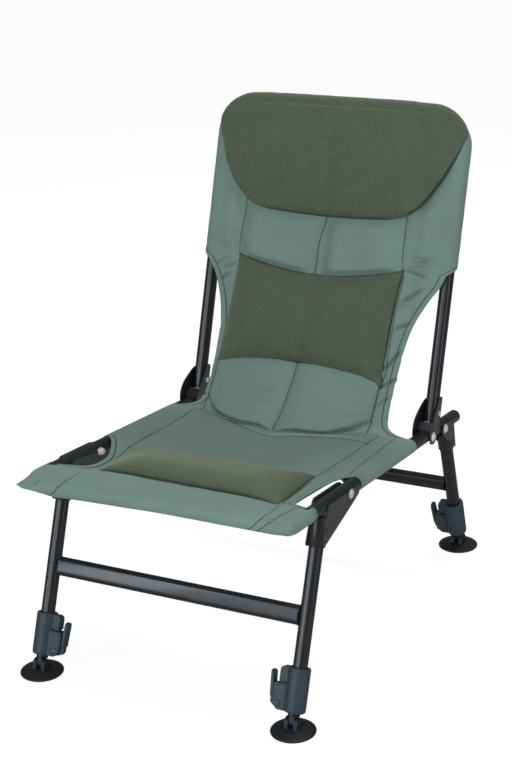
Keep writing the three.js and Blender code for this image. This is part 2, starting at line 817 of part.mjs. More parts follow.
// The cover: one padded sling from the front tube to the top of the backrest
const sleeve_bore = tube_radius + touch_gap;
const sleeve_radius = sleeve_bore + cloth_thickness;
const cover_thickness = 13;
const hem_thickness = 5;
const seat_dip = 20;
const back_dip = 5;
const channel_share = 0.755;
const channel_width_share = 0.06;
const crease_width_share = 0.9;

// Distances from a sewn channel at a share of the half width, and from the middle one
function channel_at(x, share) {
  const distance = (Math.abs(x) / frame_half - share) / channel_width_share;
  return Math.exp(-distance * distance);
}

function across(x) {
  return Math.min(Math.abs(x) / frame_half, 1);
}

// Heights of the cover's top face over the axis of the tube that carries it
function seat_rise(x, station) {
  const along = (station - front_tube_station) / (crease_at(x) - front_tube_station);
  const dish = (1 - across(x) ** 4) * (1 - (2 * along - 1) ** 4);
  const crown = seat_fill * (1 - 0.6 * channel_at(x, channel_share));
  return sleeve_radius + (crown - seat_dip) * dish;
}

function back_rise(x, height = back_sleeve_start) {
  const share = Math.min(Math.abs(x) / back_cover_half(height), 1);
  const up = Math.min((height - back_sleeve_start) / (back_height - back_sleeve_start), 1);
  const dish = (1 - share ** 4) * (1 - up ** 8);
  const crown = back_fill * (1 - 0.6 * channel_at(x, channel_share) - 0.6 * channel_at(x, 0));
  return sleeve_radius + (crown - back_dip) * dish;
}

function depth_at(x) {
  return hem_thickness + (cover_thickness - hem_thickness) * (1 - across(x) ** 4);
}

// Half width of the back panel, which follows the bends of the tubes at the top
function back_cover_half(height) {
  const above = Math.max(height - back_bend_start, 0) / back_bend_radius;
  const corner = Math.sqrt(Math.max(1 - above * above, 0));
  return frame_half - back_bend_radius * (1 - corner);
}

// The crease between seat and back bows forwards in the middle
function crease_at(x) {
  const share = Math.min(across(x) / crease_width_share, 1);
  const bow = Math.sin(share * Math.PI / 2) ** 2;
  return crease_station + (side_sleeve_end - crease_station) * bow;
}

// Seat cover, in seat_group: rows of stations, with a notch for each front bracket
const notch_rows = [
  [0, 0],
  [0.05, 0.5],
  [0.12, 0.82],
  [0.24, 0.97],
  [0.4, 1],
  [0.6, 0.93],
  [0.8, 0.6],
  [0.94, 0.25],
  [1, 0],
];
const rear_row_shares = [0.2, 0.4, 0.6, 0.78, 0.9, 0.97, 1];
const front_row_shares = [0, 0.25, 0.6, 1];
const seat_rows = [
  ...front_row_shares.map((share) => ({ share, part: 'front', inset: 0 })),
  ...notch_rows.slice(1).map(([share, inset]) => ({ share, part: 'notch', inset })),
  ...rear_row_shares.map((share) => ({ share, part: 'rear', inset: 0 })),
];

function seat_row_place(row, x) {
  if (row.part === 'front') {
    return front_tube_station + (notch_front - front_tube_station) * row.share;
  }
  if (row.part === 'notch') {
    return notch_front + (notch_rear - notch_front) * row.share;
  }
  return notch_rear + (crease_at(x) - notch_rear) * row.share;
}

const seat_slab = formed(16, seat_rows.length - 1, (u, v, w) => {
  const row = seat_rows[Math.round(v * (seat_rows.length - 1))];
  const x = u * (frame_half - notch_depth * row.inset);
  const fall = row.part === 'rear' ? crease_drop * row.share ** 6 * (1 - across(x) ** 4) : 0;
  const hem = row.inset > 0 ? Math.abs(u) ** 12 : 0;
  const depth = depth_at(x) * (1 - hem) + hem_thickness * hem;
  const station = seat_row_place(row, x);
  const rise = seat_rise(x, station) - fall - 0.5 * hem * (depth_at(x) - hem_thickness);
  return point(x, station, rise - (1 - w) * depth);
});

// The route of the seat frame's tubes, carried on past the ends of a sleeve
function frame_route(radius, reach, front, turn_depth) {
  const left = bend(point(-frame_half + radius, front + radius, 0), radius, Math.PI,
    1.5 * Math.PI, ex, ey);
  const right = bend(point(frame_half - radius, front + radius, 0), radius, -Math.PI / 2, 0,
    ex, ey);
  return [point(-frame_half, reach, 0), ...left, ...right, point(frame_half, reach, 0)]
    .map((place) => point(place.x, ...turn_depth(place.y)));
}

function sleeve_along(from, to) {
  const sleeve = new THREE.Shape(circle(sleeve_radius));
  return sides.map(([, side]) => {
    const tube = extruded(sleeve, from, to).rotateX(-Math.PI / 2);
    return tube.translate(side * frame_half, 0, 0);
  });
}

const front_hem_half = frame_half + sleeve_radius - cloth_thickness;
const front_hem = swept(
  new THREE.Shape(circle(sleeve_radius)),
  [point(-front_hem_half, front_tube_station, 0), point(front_hem_half, front_tube_station, 0)],
  ez,
);
const seat_bore = swept(
  new THREE.Shape(circle(sleeve_bore)),
  frame_route(rail_bend_radius, side_sleeve_end + sleeve_radius, front_tube_station,
    (along) => [along, 0]),
  ez,
);
const seat_cover = cut(
  joined(
    seat_slab,
    front_hem,
    ...sleeve_along(front_tube_station, notch_front),
    ...sleeve_along(notch_rear, side_sleeve_end),
  ),
  seat_bore,
);
add(seat_group, 'seat_cover', seat_cover, sage_polyester);

// Lower back: the cover's sling between the crease and the backrest, in chair axes
const sling_lead = 70;
const sling_tail = 85;
const seam_gap = 1.2;
const sling_width_shares = [
  [0, 0.94],
  [0.14, 0.82],
  [0.5, 0.775],
  [0.76, 0.81],
  [0.9, 0.87],
  [1, 0.94],
];

function seat_axis(station, rise) {
  const place = rail_place(station);
  return place.add(point(0, rise * Math.sin(slope_angle), rise * Math.cos(slope_angle)));
}

function back_axis(height, rise) {
  const behind = back_setback - rise;
  const y = height * Math.sin(back_angle) + behind * Math.cos(back_angle);
  const z = height * Math.cos(back_angle) - behind * Math.sin(back_angle);
  return rail_place(back_pivot_station).add(point(0, y, z));
}

function sling_curve(x) {
  const fall = crease_drop * (1 - across(x) ** 4);
  const start = seat_axis(crease_at(x) + seam_gap, seat_rise(x, crease_at(x)) - fall);
  const end = back_axis(back_sleeve_start - touch_gap, back_rise(x));
  const seat_way = point(0, Math.cos(slope_angle), -Math.sin(slope_angle));
  const back_way = point(0, Math.sin(back_angle), Math.cos(back_angle));
  return new THREE.CubicBezierCurve3(
    start,
    start.clone().addScaledVector(seat_way, sling_lead * (1 - 0.6 * across(x))),
    end.clone().addScaledVector(back_way, -sling_tail),
    end,
  );
}

// A point of the sling: share of the way up, and rise over its front face
function sling_place(x, share, rise) {
  const curve = sling_curve(x);
  const place = curve.getPoint(share);
  const way = curve.getTangent(share);
  const puff = 0.6 * back_fill * Math.sin(Math.PI * share) * (1 - across(x) ** 4);
  place.add(point(0, -way.z, way.y).multiplyScalar(puff + rise));
  place.x = x;
  return place;
}

const lower_back = formed(12, 12, (u, v, w) => {
  const x = u * frame_half * between(sling_width_shares, v);
  const hem = Math.abs(u) ** 12;
  const depth = depth_at(x) * (1 - hem) + hem_thickness * hem;
  return sling_place(x, v, -(1 - w) * depth);
});
add(chair, 'lower_back_sling', lower_back, sage_polyester);

// Back cover, in back_group: a panel between the tubes and a sleeve over all three
const back_row_shares = [0, 0.12, 0.26, 0.4, 0.55, 0.7, 0.79, 0.86, 0.92, 0.965, 0.99];
const back_slab = formed(12, back_row_shares.length - 1, (u, v, w) => {
  const share = back_row_shares[Math.round(v * (back_row_shares.length - 1))];
  const height = back_sleeve_start + (back_height - back_sleeve_start) * share;
  const x = u * back_cover_half(height);
  const rise = back_rise(x, height) - (1 - w) * depth_at(frame_half * u);
  return point(x, back_setback - rise, height);
});
const back_route = (start) => {
  const route = frame_route(back_bend_radius, -start, -back_height, (along) => [0, -along]);
  return route.map((place) => place.add(point(0, back_setback, 0)));
};
const back_sleeve = swept(new THREE.Shape(circle(sleeve_radius)), back_route(back_sleeve_start), ey);
const back_bore = swept(
  new THREE.Shape(circle(sleeve_bore)),
  back_route(back_sleeve_start - sleeve_radius),
  ey,
);
const back_cover = cut(joined(back_slab, back_sleeve), back_bore);
add(back_group, 'back_cover', back_cover, sage_polyester);

// Pads: crowned fleece cushions whose sides draw in between their corners
const pad_edge = 3;
const pad_bed = 0.75 * cloth_thickness;
const seat_pad_front = 72;
const seat_pad_rear = 252;
const seat_pad_half = 180;
const seat_pad_fill = 23;
const head_pad_over = 9;
const head_pad_length = 217;
const head_pad_high = back_height + head_pad_over;
const head_pad_low = head_pad_high - head_pad_length;
const head_pad_fill = 30;
const lumbar_fill = 23;
const lumbar_half = 178;

// Fill of a pad at u across and v along, both running to its edges
function pad_fill(u, v, fill) {
  const edge_u = 1 - Math.abs(u) ** 3.2;
  const edge_v = 1 - Math.abs(2 * v - 1) ** 3.2;
  return pad_edge + fill * Math.sqrt(Math.max(edge_u * edge_v, 0));
}

const seat_pad = formed(12, 8, (u, v, w) => {
  const draw = 1 - 0.03 * (1 - (2 * v - 1) ** 2) + 0.05 * (v - 0.5);
  const x = u * seat_pad_half * draw;
  const bow = 0.03 * seat_pad_half * (1 - u * u);
  const rear = seat_pad_rear - bow;
  const station = seat_pad_front + (rear - seat_pad_front) * v;
  const rise = seat_rise(x, station) + (w > 0 ? pad_fill(u, v, seat_pad_fill) : -pad_bed);
  return point(x, station, rise);
});
add(seat_group, 'seat_pad', cut(seat_pad, lifted(seat_cover, [0, 0, touch_gap])), olive_fleece);

const head_half_shares = [
  [0, 0.5],
  [0.03, 0.62],
  [0.12, 0.74],
  [0.22, 0.82],
  [0.4, 0.92],
  [0.6, 0.99],
  [0.8, 1.04],
  [0.9, 1],
  [0.97, 0.88],
  [1, 0.76],
];
const head_pad = formed(12, 11, (u, v, w) => {
  const height = head_pad_low + (head_pad_high - head_pad_low) * v;
  const x = u * frame_half * between(head_half_shares, v);
  const rise = back_rise(x, height) + (w > 0 ? pad_fill(u, v, head_pad_fill) : -pad_bed);
  return point(x, back_setback - rise, height);
});
add(back_group, 'head_pad', cut(head_pad, lifted(back_cover, [0, -touch_gap, 0])), olive_fleece);

const lumbar_low_share = 0.5;
const lumbar_high_share = 0.945;
const lumbar_pad = formed(10, 8, (u, v, w) => {
  const draw = 1 - 0.05 * (1 - (2 * v - 1) ** 2);
  const x = u * lumbar_half * draw;
  const low = lumbar_low_share - 0.075 * u * u;
  const high = lumbar_high_share + 0.045 * u * u;
  const share = low + (high - low) * v;
  return sling_place(x, share, w > 0 ? pad_fill(u, v, lumbar_fill) : -pad_bed);
});
const lumbar_way = sling_curve(0).getTangent((lumbar_low_share + lumbar_high_share) / 2);
const lumbar_lift = [0, -touch_gap * lumbar_way.z, touch_gap * lumbar_way.y];
add(chair, 'lumbar_pad', cut(lumbar_pad, lifted(lower_back, lumbar_lift)), olive_fleece);

// Stand the chair with its origin under the middle of its box
chair.updateMatrixWorld(true);
const extent = new THREE.Box3().setFromObject(chair, true);
const middle = extent.getCenter(point(0, 0, 0));
chair.position.set(-middle.x, -middle.y, -extent.min.z);

export default chair;
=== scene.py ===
"""Looks of the folding carp chair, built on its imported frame. Shapes are drawn in millimetres."""

import json
import math

import bmesh
import bpy
from mathutils import Matrix, Vector, noise


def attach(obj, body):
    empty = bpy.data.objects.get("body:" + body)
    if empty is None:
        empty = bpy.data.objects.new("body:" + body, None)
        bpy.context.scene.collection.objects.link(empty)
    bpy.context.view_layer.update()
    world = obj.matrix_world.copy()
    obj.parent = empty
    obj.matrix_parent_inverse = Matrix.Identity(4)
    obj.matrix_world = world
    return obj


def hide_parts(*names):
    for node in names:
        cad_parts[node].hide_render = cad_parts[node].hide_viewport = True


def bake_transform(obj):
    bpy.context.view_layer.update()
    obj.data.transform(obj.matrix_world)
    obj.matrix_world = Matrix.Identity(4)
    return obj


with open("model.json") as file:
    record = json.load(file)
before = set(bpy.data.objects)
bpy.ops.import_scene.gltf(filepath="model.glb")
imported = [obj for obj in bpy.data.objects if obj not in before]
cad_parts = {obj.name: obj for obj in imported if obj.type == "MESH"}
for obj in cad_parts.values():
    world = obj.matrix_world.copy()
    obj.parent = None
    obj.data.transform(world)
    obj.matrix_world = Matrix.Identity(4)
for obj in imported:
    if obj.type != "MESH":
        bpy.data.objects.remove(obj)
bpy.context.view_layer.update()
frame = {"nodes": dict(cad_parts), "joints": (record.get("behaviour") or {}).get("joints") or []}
MILLIMETRES = Matrix.Scale(0.001, 4)
HANDS = (("left", -1), ("right", 1))
X, Y, Z = Vector((1, 0, 0)), Vector((0, 1, 0)), Vector((0, 0, 1))

# ---- Sizes of the chair, as in the frame
frame_half = 249.0
tube_radius = 12.5
inner_tube_radius = 10.4
back_pivot_station = 591.0
front_tube_station, rail_end_station = 4.0, 742.0
rail_bend_radius, back_bend_radius = 38.0, 62.0
back_setback, back_tube_start, back_height = 18.6, 26.0, 603.0
notch_front, notch_rear, notch_depth = 85.0, 266.0, 48.0
side_sleeve_end, crease_station, crease_drop = 514.0, 440.0, 6.0
back_sleeve_start = 309.0
slope, tilt = math.radians(6), math.radians(18.7)
front_leg_tilt, rear_leg_tilt = math.radians(21.2), math.radians(16.8)
foot_pin_height = 18.0
# Above a foot's pin: the outer tube's end, the clamp's own zero and the inner tube's end
outer_tube_foot, clamp_foot, inner_tube_foot, inner_tube_length = 29.3, 11.0, 12.3, 178.0
# The front tube and the top tube end this far short of the bends that they butt against
butt_gap = 6.3
groove_half_width = 2.8
sleeve_radius = 16.4
plate_inset, plate_outset = 13.0, 15.6

# ---- Places: each group's own axes, in millimetres
joint_place = {j["name"]: Vector(j.get("pos_m") or (0, 0, 0)) * 1000 for j in frame["joints"]}
back_pivot = joint_place["backrest_fold"]
seat_origin = back_pivot - back_pivot_station * Vector((0, math.cos(slope), -math.sin(slope)))
chair_shift = back_pivot.y - back_pivot_station * math.cos(slope)


def axes_at(origin, angle):
    return Matrix.Translation(origin) @ Matrix.Rotation(angle, 4, "X")


SEAT = axes_at(seat_origin, -slope)
BACK = axes_at(back_pivot, -tilt)
CHAIR = Matrix.Identity(4)


def leg_layout(name, offset, angle, lean):
    """Where a pair of legs stands: its axes, and the tube's top and foot pin along them."""
    pivot = joint_place[f"{name}_legs_fold"]
    rail_angle = angle - lean * slope
    drop = (pivot.z + offset * math.sin(angle) - foot_pin_height) / math.cos(angle)
    top = -offset * math.tan(rail_angle) - (tube_radius + 0.3) / math.cos(rail_angle)
    top -= tube_radius * math.tan(rail_angle)
    return {
        "name": name,
        "axes": axes_at(pivot, -lean * angle),
        "y": -lean * offset,
        "top": top,
        "drop": drop,
        "rail_angle": lean * rail_angle,
        "angle": -lean * angle,
    }


LEGS = [
    leg_layout("front", 82, front_leg_tilt, 1),
    leg_layout("rear", 27, rear_leg_tilt, -1),
]


def through(rows, position):
    """A value on a smooth line through (position, value) rows."""
    last = len(rows) - 1
    position = min(max(position, rows[0][0]), rows[-1][0])
    k = 0
    while k < last - 1 and position > rows[k + 1][0]:
        k += 1

    def way(n):
        a, b = rows[max(n - 1, 0)], rows[min(n + 1, last)]
        return (b[1] - a[1]) / (b[0] - a[0])

    span = rows[k + 1][0] - rows[k][0]
    t = (position - rows[k][0]) / span
    low, high = rows[k][1], rows[k + 1][1]
    return (
        low * (2 * t**3 - 3 * t**2 + 1)
        + high * (3 * t**2 - 2 * t**3)
        + span * (way(k) * (t**3 - 2 * t**2 + t) + way(k + 1) * (t**3 - t**2))
    )


def smooth(low, high, value):
    """0 before low, 1 past high, with an even slope at both."""
    t = min(max((value - low) / (high - low), 0), 1)
    return t * t * (3 - 2 * t)


def bump(distance, width):
    return math.exp(-((distance / width) ** 2))


# ---- Finishes
class Wire:
    """One output in a tree of nodes. Sums and products of wires add Math nodes."""

    def __init__(self, nodes, socket):
        self.nodes, self.socket = nodes, socket

    def math(self, operation, *values):
        return self.nodes.math(operation, *values)

    def __add__(self, other):
        return self.math("ADD", self, other)

    def __sub__(self, other):
        return self.math("SUBTRACT", self, other)

    def __rsub__(self, other):
        return self.math("SUBTRACT", other, self)

    def __mul__(self, other):
        return self.math("MULTIPLY", self, other)

    def __abs__(self):
        return self.math("ABSOLUTE", self)

    __radd__ = __add__
    __rmul__ = __mul__


class Nodes:
    """A tree of nodes that is built node by node."""

    def __init__(self, owner):
        owner.use_nodes = True
        self.tree = owner.node_tree

    def node(self, kind, settings=None, values=(), output=0):
        made = self.tree.nodes.new("ShaderNode" + kind)
        for key, value in (settings or {}).items():
            if key == "stops":
                points = made.color_ramp.elements
                while len(points) < len(value):
                    points.new(0.5)
                for point, (position, colour) in zip(points, value):
                    point.position, point.color = position, (*colour, 1)
            else:
                setattr(made, key, value)
        pairs = values.items() if isinstance(values, dict) else enumerate(values)
        for key, value in pairs:
            self.feed(made.inputs[key], value)
        return Wire(self, made.outputs[output])

    def math(self, operation, *values):
        return self.node("Math", {"operation": operation}, values)

    def feed(self, socket, value):
        if isinstance(value, Wire):
            self.tree.links.new(value.socket, socket)
        else:
            socket.default_value = value


class Finish(Nodes):
    """A procedural material."""

    def __init__(self, name, **constants):
        self.material = bpy.data.materials.new(name)
        super().__init__(self.material)
        self.shader = self.tree.nodes["Principled BSDF"]
        self.set(**constants)

    def set(self, **values):
        for socket, value in values.items():
            self.feed(self.shader.inputs[socket.replace("_", " ")], value)

    def place(self, scale):
        """Coordinates on the piece, in metres, stretched by scale."""
        spot = self.node("TexCoord", output="Object")
        return self.node("Mapping", None, {"Vector": spot, "Scale": scale})

    def speckle(self, scale, detail=2.0, place=None, roughness=0.5):
        spot = place or self.node("TexCoord", output="Object")
        values = {"Vector": spot, "Scale": scale, "Detail": detail, "Roughness": roughness}
        return self.node("TexNoise", None, values)

    def ramp(self, value, *stops):
        return self.node("ValToRGB", {"stops": stops}, [value])

    def level(self, value, low, high, to_low=0.0, to_high=1.0):
        rows = {"Value": value, "From Min": low, "From Max": high, "To Min": to_low,
                "To Max": to_high}
        return self.node("MapRange", {"clamp": True}, rows)

    def blend(self, factor, low, high):
        colours = {0: factor, 6: low, 7: high}
        return self.node("Mix", {"data_type": "RGBA"}, colours, output=2)

    def relief(self, height, distance, strength=1.0, under=None):
        values = {"Height": height, "Distance": distance, "Strength": strength}
        if under:
            values["Normal"] = under
        return self.node("Bump", None, values)


def shade(colour, factor):
    return (*(c * factor for c in colour[:3]), 1)


def coated_steel(name, colour, gloss, grain=0.00004):
    """Powder-coated tube: fine orange peel, rubbed a little paler in places."""
    made = Finish(name, IOR=1.5, Coat_Weight=0.3, Coat_Roughness=0.1)
    peel = made.speckle(900, 2)
    wear = made.speckle(22, 4, roughness=0.6)
    rubbed = made.level(wear, 0.52, 0.75)
    made.set(
        Base_Color=made.blend(rubbed, shade(colour, 1), shade(colour, 1.7)),
        Roughness=gloss + peel * 0.1 + rubbed * 0.08,
        Normal=made.relief(peel, grain, 0.6),
    )
    return made.material


def moulded_plastic(name, colour, gloss):
    """Fine spark-grained moulding with faint flow marks."""
    made = Finish(name, IOR=1.46)
    grain = made.speckle(1500, 1)
    flow = made.speckle(14, 3, place=made.place((1, 1, 0.3)))
    made.set(
        Base_Color=made.blend(made.level(flow, 0.35, 0.7), shade(colour, 0.85), shade(colour, 1.2)),
        Roughness=gloss + grain * 0.14,
        Normal=made.relief(grain, 0.00006, 0.7),
    )
    return made.material


def plated_zinc(name):
    made = Finish(name, Metallic=0.55)
    cloud = made.speckle(60, 4)
    scratch = made.speckle(300, 2, place=made.place((1, 1, 12)))
    made.set(
        Base_Color=made.ramp(cloud, (0.3, (0.5, 0.5, 0.51)), (0.7, (0.85, 0.86, 0.88))),
        Roughness=0.24 + cloud * 0.2 + scratch * 0.06,
        Normal=made.relief(scratch, 0.00003, 0.5),
    )
    return made.material


def woven_polyester(name, colour):
    """Satin cover cloth: fine twill, soft clouding, stitched lines from its seams and painted shade
    in its creases.
    """
    made = Finish(name, Sheen_Weight=0.08, Sheen_Roughness=0.4, IOR=1.42)
    cloth = made.node("UVMap", {"uv_map": "cloth"})
    twill_place = made.node("Mapping", None, {"Vector": cloth, "Rotation": (0, 0, 0.7)})
    twill = made.node("TexWave", {"wave_type": "BANDS", "bands_direction": "X"},
                      {"Vector": twill_place, "Scale": 260.0, "Distortion": 0.6, "Detail": 1.0})
    cloud = made.speckle(9, 3, place=cloth)
    crumple = made.speckle(55, 3, place=made.node("Mapping", None, {"Vector": cloth,
                           "Scale": (1, 0.5, 1)}), roughness=0.55)
    seams = made.node("Attribute", {"attribute_name": "seams"}, output="Vector")
    near, run, hem = (made.node("SeparateXYZ", None, [seams], output=k) for k in range(3))
    folds = made.node("Attribute", {"attribute_name": "folds"}, output="Vector")
    second, fold = (made.node("SeparateXYZ", None, [folds], output=k) for k in range(2))
    line = 1 - made.level(made.math("MINIMUM", abs(near), abs(second)), 0.5, 2.0)
    stitch = made.level(made.math("SINE", run * (2 * math.pi / 4.6)), -0.2, 0.3)
    hem_line = 1 - made.level(abs(hem), 0.5, 1.9)
    dark = made.math("MAXIMUM", line * (0.92 - stitch * 0.4), hem_line * 0.85)
    base = made.blend(made.level(cloud, 0.3, 0.7), shade(colour, 0.93), shade(colour, 1.06))
    base = made.blend(twill * 0.16, base, shade(colour, 1.25))
    # Painted shade: the cloth darkens where the folds' depth runs down into a crease
    base = made.blend(made.level(0 - fold, 0.7, 3.4) * 0.5, base, shade(colour, 0.3))
    made.set(
        Base_Color=made.blend(dark, base, shade(colour, 0.18)),
        Roughness=0.52 + twill * 0.12 + cloud * 0.08,
        Normal=made.relief(twill, 0.00005, 0.35,
                           under=made.relief(crumple - dark * 0.6, 0.0009, 0.5)),
    )
    return made.material


def brushed_fleece(name, colour):
    """Napped pad cloth: short pile, mottled, with a soft sheen at grazing angles and a painted
    shade line along its sewn rim.
    """
    made = Finish(name, Sheen_Weight=0.3, Sheen_Roughness=0.35, Sheen_Tint=(0.8, 0.9, 0.62, 1),
                  Specular_IOR_Level=0.12)
    pile = made.speckle(520, 3, roughness=0.7)
    tuft = made.speckle(210, 2, roughness=0.6)
    cloud = made.speckle(16, 3)
    tone = made.level(pile * 0.6 + tuft * 0.4, 0.36, 0.66)
    base = made.blend(tone, shade(colour, 0.74), shade(colour, 1.3))
    base = made.blend(made.level(cloud, 0.35, 0.7) * 0.3, base, shade(colour, 1.2))
    rim = made.node("Attribute", {"attribute_name": "rim"}, output="Fac")
    # Painted shade: a dark line along the rim, where the pad meets the cover it is sewn to
    base = made.blend((1 - made.level(rim, 0.6, 3.4)) * 0.75, base, shade(colour, 0.25))
    made.set(
        Base_Color=base,
        Roughness=0.9 + pile * 0.1,
        Normal=made.relief(pile + tuft * 0.5, 0.0007, 0.5),
    )
    return made.material


SLOTS = {
    "black_steel": coated_steel("black_steel_coat", (0.009, 0.011, 0.014), 0.27),
    # Painted reflection: a paler copy of the black coat, standing in for the white surroundings
    # mirrored at a grazing angle on hinge plates, bracket cheeks and clamp screws
    "grey_steel": coated_steel("painted_reflection_coat", (0.03, 0.031, 0.034), 0.42),
    "zinc": plated_zinc("zinc_plate"),
    "blue_grey_plastic": moulded_plastic("blue_grey_moulding", (0.022, 0.037, 0.049), 0.42),
    "black_plastic": moulded_plastic("black_moulding", (0.011, 0.014, 0.017), 0.42),
    "sage_polyester": woven_polyester("sage_polyester_weave", (0.118, 0.19, 0.163)),
    "olive_fleece": brushed_fleece("olive_fleece_pile", (0.068, 0.086, 0.06)),
}


# ---- Workshop helpers
def placed(name, data):
    made = bpy.data.objects.new(name, data)
    bpy.context.scene.collection.objects.link(made)
    return made


def built(bm, name, material):
    """Turns a drawn shape, in metres, into an object."""
    mesh = bpy.data.meshes.new(name)
    bm.to_mesh(mesh)
    bm.free()
    mesh.materials.append(material)
    mesh.shade_smooth()
    return placed(name, mesh)


def round_edges(made, width, angle):
    rounding = made.modifiers.new("edge", "BEVEL")
    rounding.width, rounding.segments = width * 0.001, 2
    rounding.limit_method, rounding.angle_limit = "ANGLE", math.radians(angle)
    return rounding


def finished(bm, name, place, slot, body=None, stands_for=(), edge=0.0, sharp=38, clean=True):
    """Turns a drawn shape into a piece that rides on a body and stands for frame nodes."""
    if clean:
        bmesh.ops.remove_doubles(bm, verts=bm.verts, dist=0.02)
        bmesh.ops.recalc_face_normals(bm, faces=bm.faces)
    bmesh.ops.transform(bm, matrix=MILLIMETRES @ place, verts=bm.verts)
    made = built(bm, name, SLOTS[slot])
    made.data.set_sharp_from_angle(angle=math.radians(sharp))
    if edge:
        round_edges(made, edge, sharp).harden_normals = True
    if body:
        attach(made, body)
    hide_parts(*stands_for)
    return made


def kept(node, slot, edge=0.0):
    """A frame node whose shape is right: it gets its finish and softened edges."""
    made = frame["nodes"][node]
    made.data.materials.clear()
    made.data.materials.append(SLOTS[slot])
    if edge:
        made.modifiers.new("weld", "WELD").merge_threshold = 0.00002
        round_edges(made, edge, 35)


def tube(bm, radius, start, way, moves):
    """A tube from start along way. A move is a length, or (centre, axis, angle) of a bend."""
    way = Vector(way).normalized()
    turn = way.to_track_quat("Z", "Y").to_matrix().to_4x4()
    made = bmesh.ops.create_circle(bm, cap_ends=True, radius=radius, segments=40,
                                   matrix=Matrix.Translation(start) @ turn)
    ring = list({e for v in made["verts"] for e in v.link_edges})
    for move in moves:
        if isinstance(move, (int, float)):
            grown = bmesh.ops.extrude_edge_only(bm, edges=ring)["geom"]
            verts = [g for g in grown if isinstance(g, bmesh.types.BMVert)]
            bmesh.ops.translate(bm, verts=verts, vec=way * move)
        else:
            centre, axis, angle = move
            steps = max(6, int(abs(angle) / 0.12))
            grown = bmesh.ops.spin(bm, geom=ring, cent=centre, axis=axis, angle=angle,
                                   steps=steps, use_merge=False, dvec=(0, 0, 0))["geom_last"]
            way = Matrix.Rotation(angle, 3, Vector(axis)) @ way
        ring = [g for g in grown if isinstance(g, bmesh.types.BMEdge)]
    bmesh.ops.contextual_create(bm, geom=ring)
    return bm


def press_groove(bm, ends, middle, facing, depth):
    """Presses a long groove into an upright tube's side that faces one way, between its ends."""
    facing = Vector(facing).normalized()
    for v in bm.verts:
        spoke = v.co - Vector(middle)
        spoke.z = 0
        out = spoke.dot(facing)
        if v not in ends and out > 0:
            off = (spoke - facing * out).length
            v.co -= facing * depth * math.exp(-((off / groove_half_width) ** 4))


def plate(bm, corners, low, high, across="x"):
    """A plate from corners (a, b, rounding), drawn in (y, z) or (x, z), between two depths.
    A rounding stays short of the middle of its corner's edges."""
    def spot(a, b, depth):
        return Vector((depth, a, b)) if across == "x" else Vector((a, depth, b))

    before = set(bm.verts)
    made = [bm.verts.new(spot(a, b, low)) for a, b, _ in corners]
    face = bm.faces.new(made)
    count = len(corners)
    for k, (vert, (_, _, rounding)) in enumerate(zip(made, corners)):
        here = Vector(corners[k][:2])
        reach = min(
            rounding,
            *((Vector(corners[(k + step) % count][:2]) - here).length / 2.02 for step in (-1, 1)),
        )
        if reach > 0.2:
            bmesh.ops.bevel(bm, geom=[vert], offset=reach, offset_type="OFFSET", segments=6,
                            profile=0.5, affect="VERTICES", material=-1)
    face = next(f for f in bm.faces if all(v not in before for v in f.verts)
                and len(f.verts) >= count)
    grown = bmesh.ops.extrude_face_region(bm, geom=[face])["geom"]
    verts = [g for g in grown if isinstance(g, bmesh.types.BMVert)]
    bmesh.ops.translate(bm, verts=verts, vec=spot(0, 0, high - low))
    return bm


def turned(bm, profile, place=CHAIR, steps=36):
    """A profile of (radius, height) turned around Z and put in its place."""
    verts = [bm.verts.new(place @ Vector((r, 0, h))) for r, h in profile]
    edges = [bm.edges.new(pair) for pair in zip(verts, verts[1:])]
    centre, axis = place.translation, place.to_3x3() @ Z
    bmesh.ops.spin(bm, geom=verts + edges, cent=centre, axis=axis, angle=2 * math.pi,
                   steps=steps, use_merge=True, dvec=(0, 0, 0))
    return bm


def along_x(spot, flip=1):
    """A turned piece's axes, with its +Z towards +X or -X."""
    return Matrix.Translation(spot) @ Matrix.Rotation(flip * math.pi / 2, 4, "Y")


def along_y(spot, flip=1):
    return Matrix.Translation(spot) @ Matrix.Rotation(-flip * math.pi / 2, 4, "X")


def dome_head(bm, place, radius, height):
    """A pressed round head on a thin washer, seen on the bolts and rivets."""
    rows = [(0, height), (0.45 * radius, 0.96 * height), (0.75 * radius, 0.72 * height),
            (0.94 * radius, 0.36 * height), (radius, 0.1 * height), (radius, 0)]
    return turned(bm, rows, place, 28)


def hexagon(bm, place, radius, height):
    made = bmesh.ops.create_cone(bm, cap_ends=True, segments=6, radius1=radius,
                                 radius2=radius, depth=height,
                                 matrix=place @ Matrix.Translation((0, 0, height / 2)))
    edges = {e for v in made["verts"] for e in v.link_edges}
    bmesh.ops.bevel(bm, geom=list(edges), offset=0.5, offset_type="OFFSET", segments=2,
                    profile=0.5, affect="EDGES", material=-1)
    return bm


# ---- Seat frame: rails, front tube, caps, hinge bolts and stops
for hand, side in HANDS:
    rail = bmesh.new()
    bend_station = front_tube_station + rail_bend_radius
    corner = Vector((side * (frame_half - rail_bend_radius), bend_station, 0))
    tube(rail, tube_radius, (side * frame_half, rail_end_station, 0), -Y,
         [rail_end_station - bend_station, (corner, Z, -side * math.pi / 2), 6])
    finished(rail, f"rail_{hand}", SEAT, "black_steel", "seat_frame", [f"seat_rail_{hand}"])
    cap = turned(bmesh.new(), [(10.6, -12), (10.6, 0.3), (12.5, 0.3), (12.5, 1.4), (11.9, 2.6),
                               (10.2, 3.5), (6, 4), (0, 4.1)],
                 along_y((side * frame_half, rail_end_station, 0)))
    finished(cap, f"rail_end_cap_{hand}", SEAT, "black_plastic", "seat_frame", [f"rail_cap_{hand}"])
    kept(f"hinge_stop_{hand}", "black_plastic", 0.8)

half = frame_half - rail_bend_radius - butt_gap
front_tube = tube(bmesh.new(), tube_radius - 0.7, (-half, front_tube_station, 0), X, [2 * half])
finished(front_tube, "front_tube", SEAT, "black_steel", "seat_frame", ["seat_front_tube"])


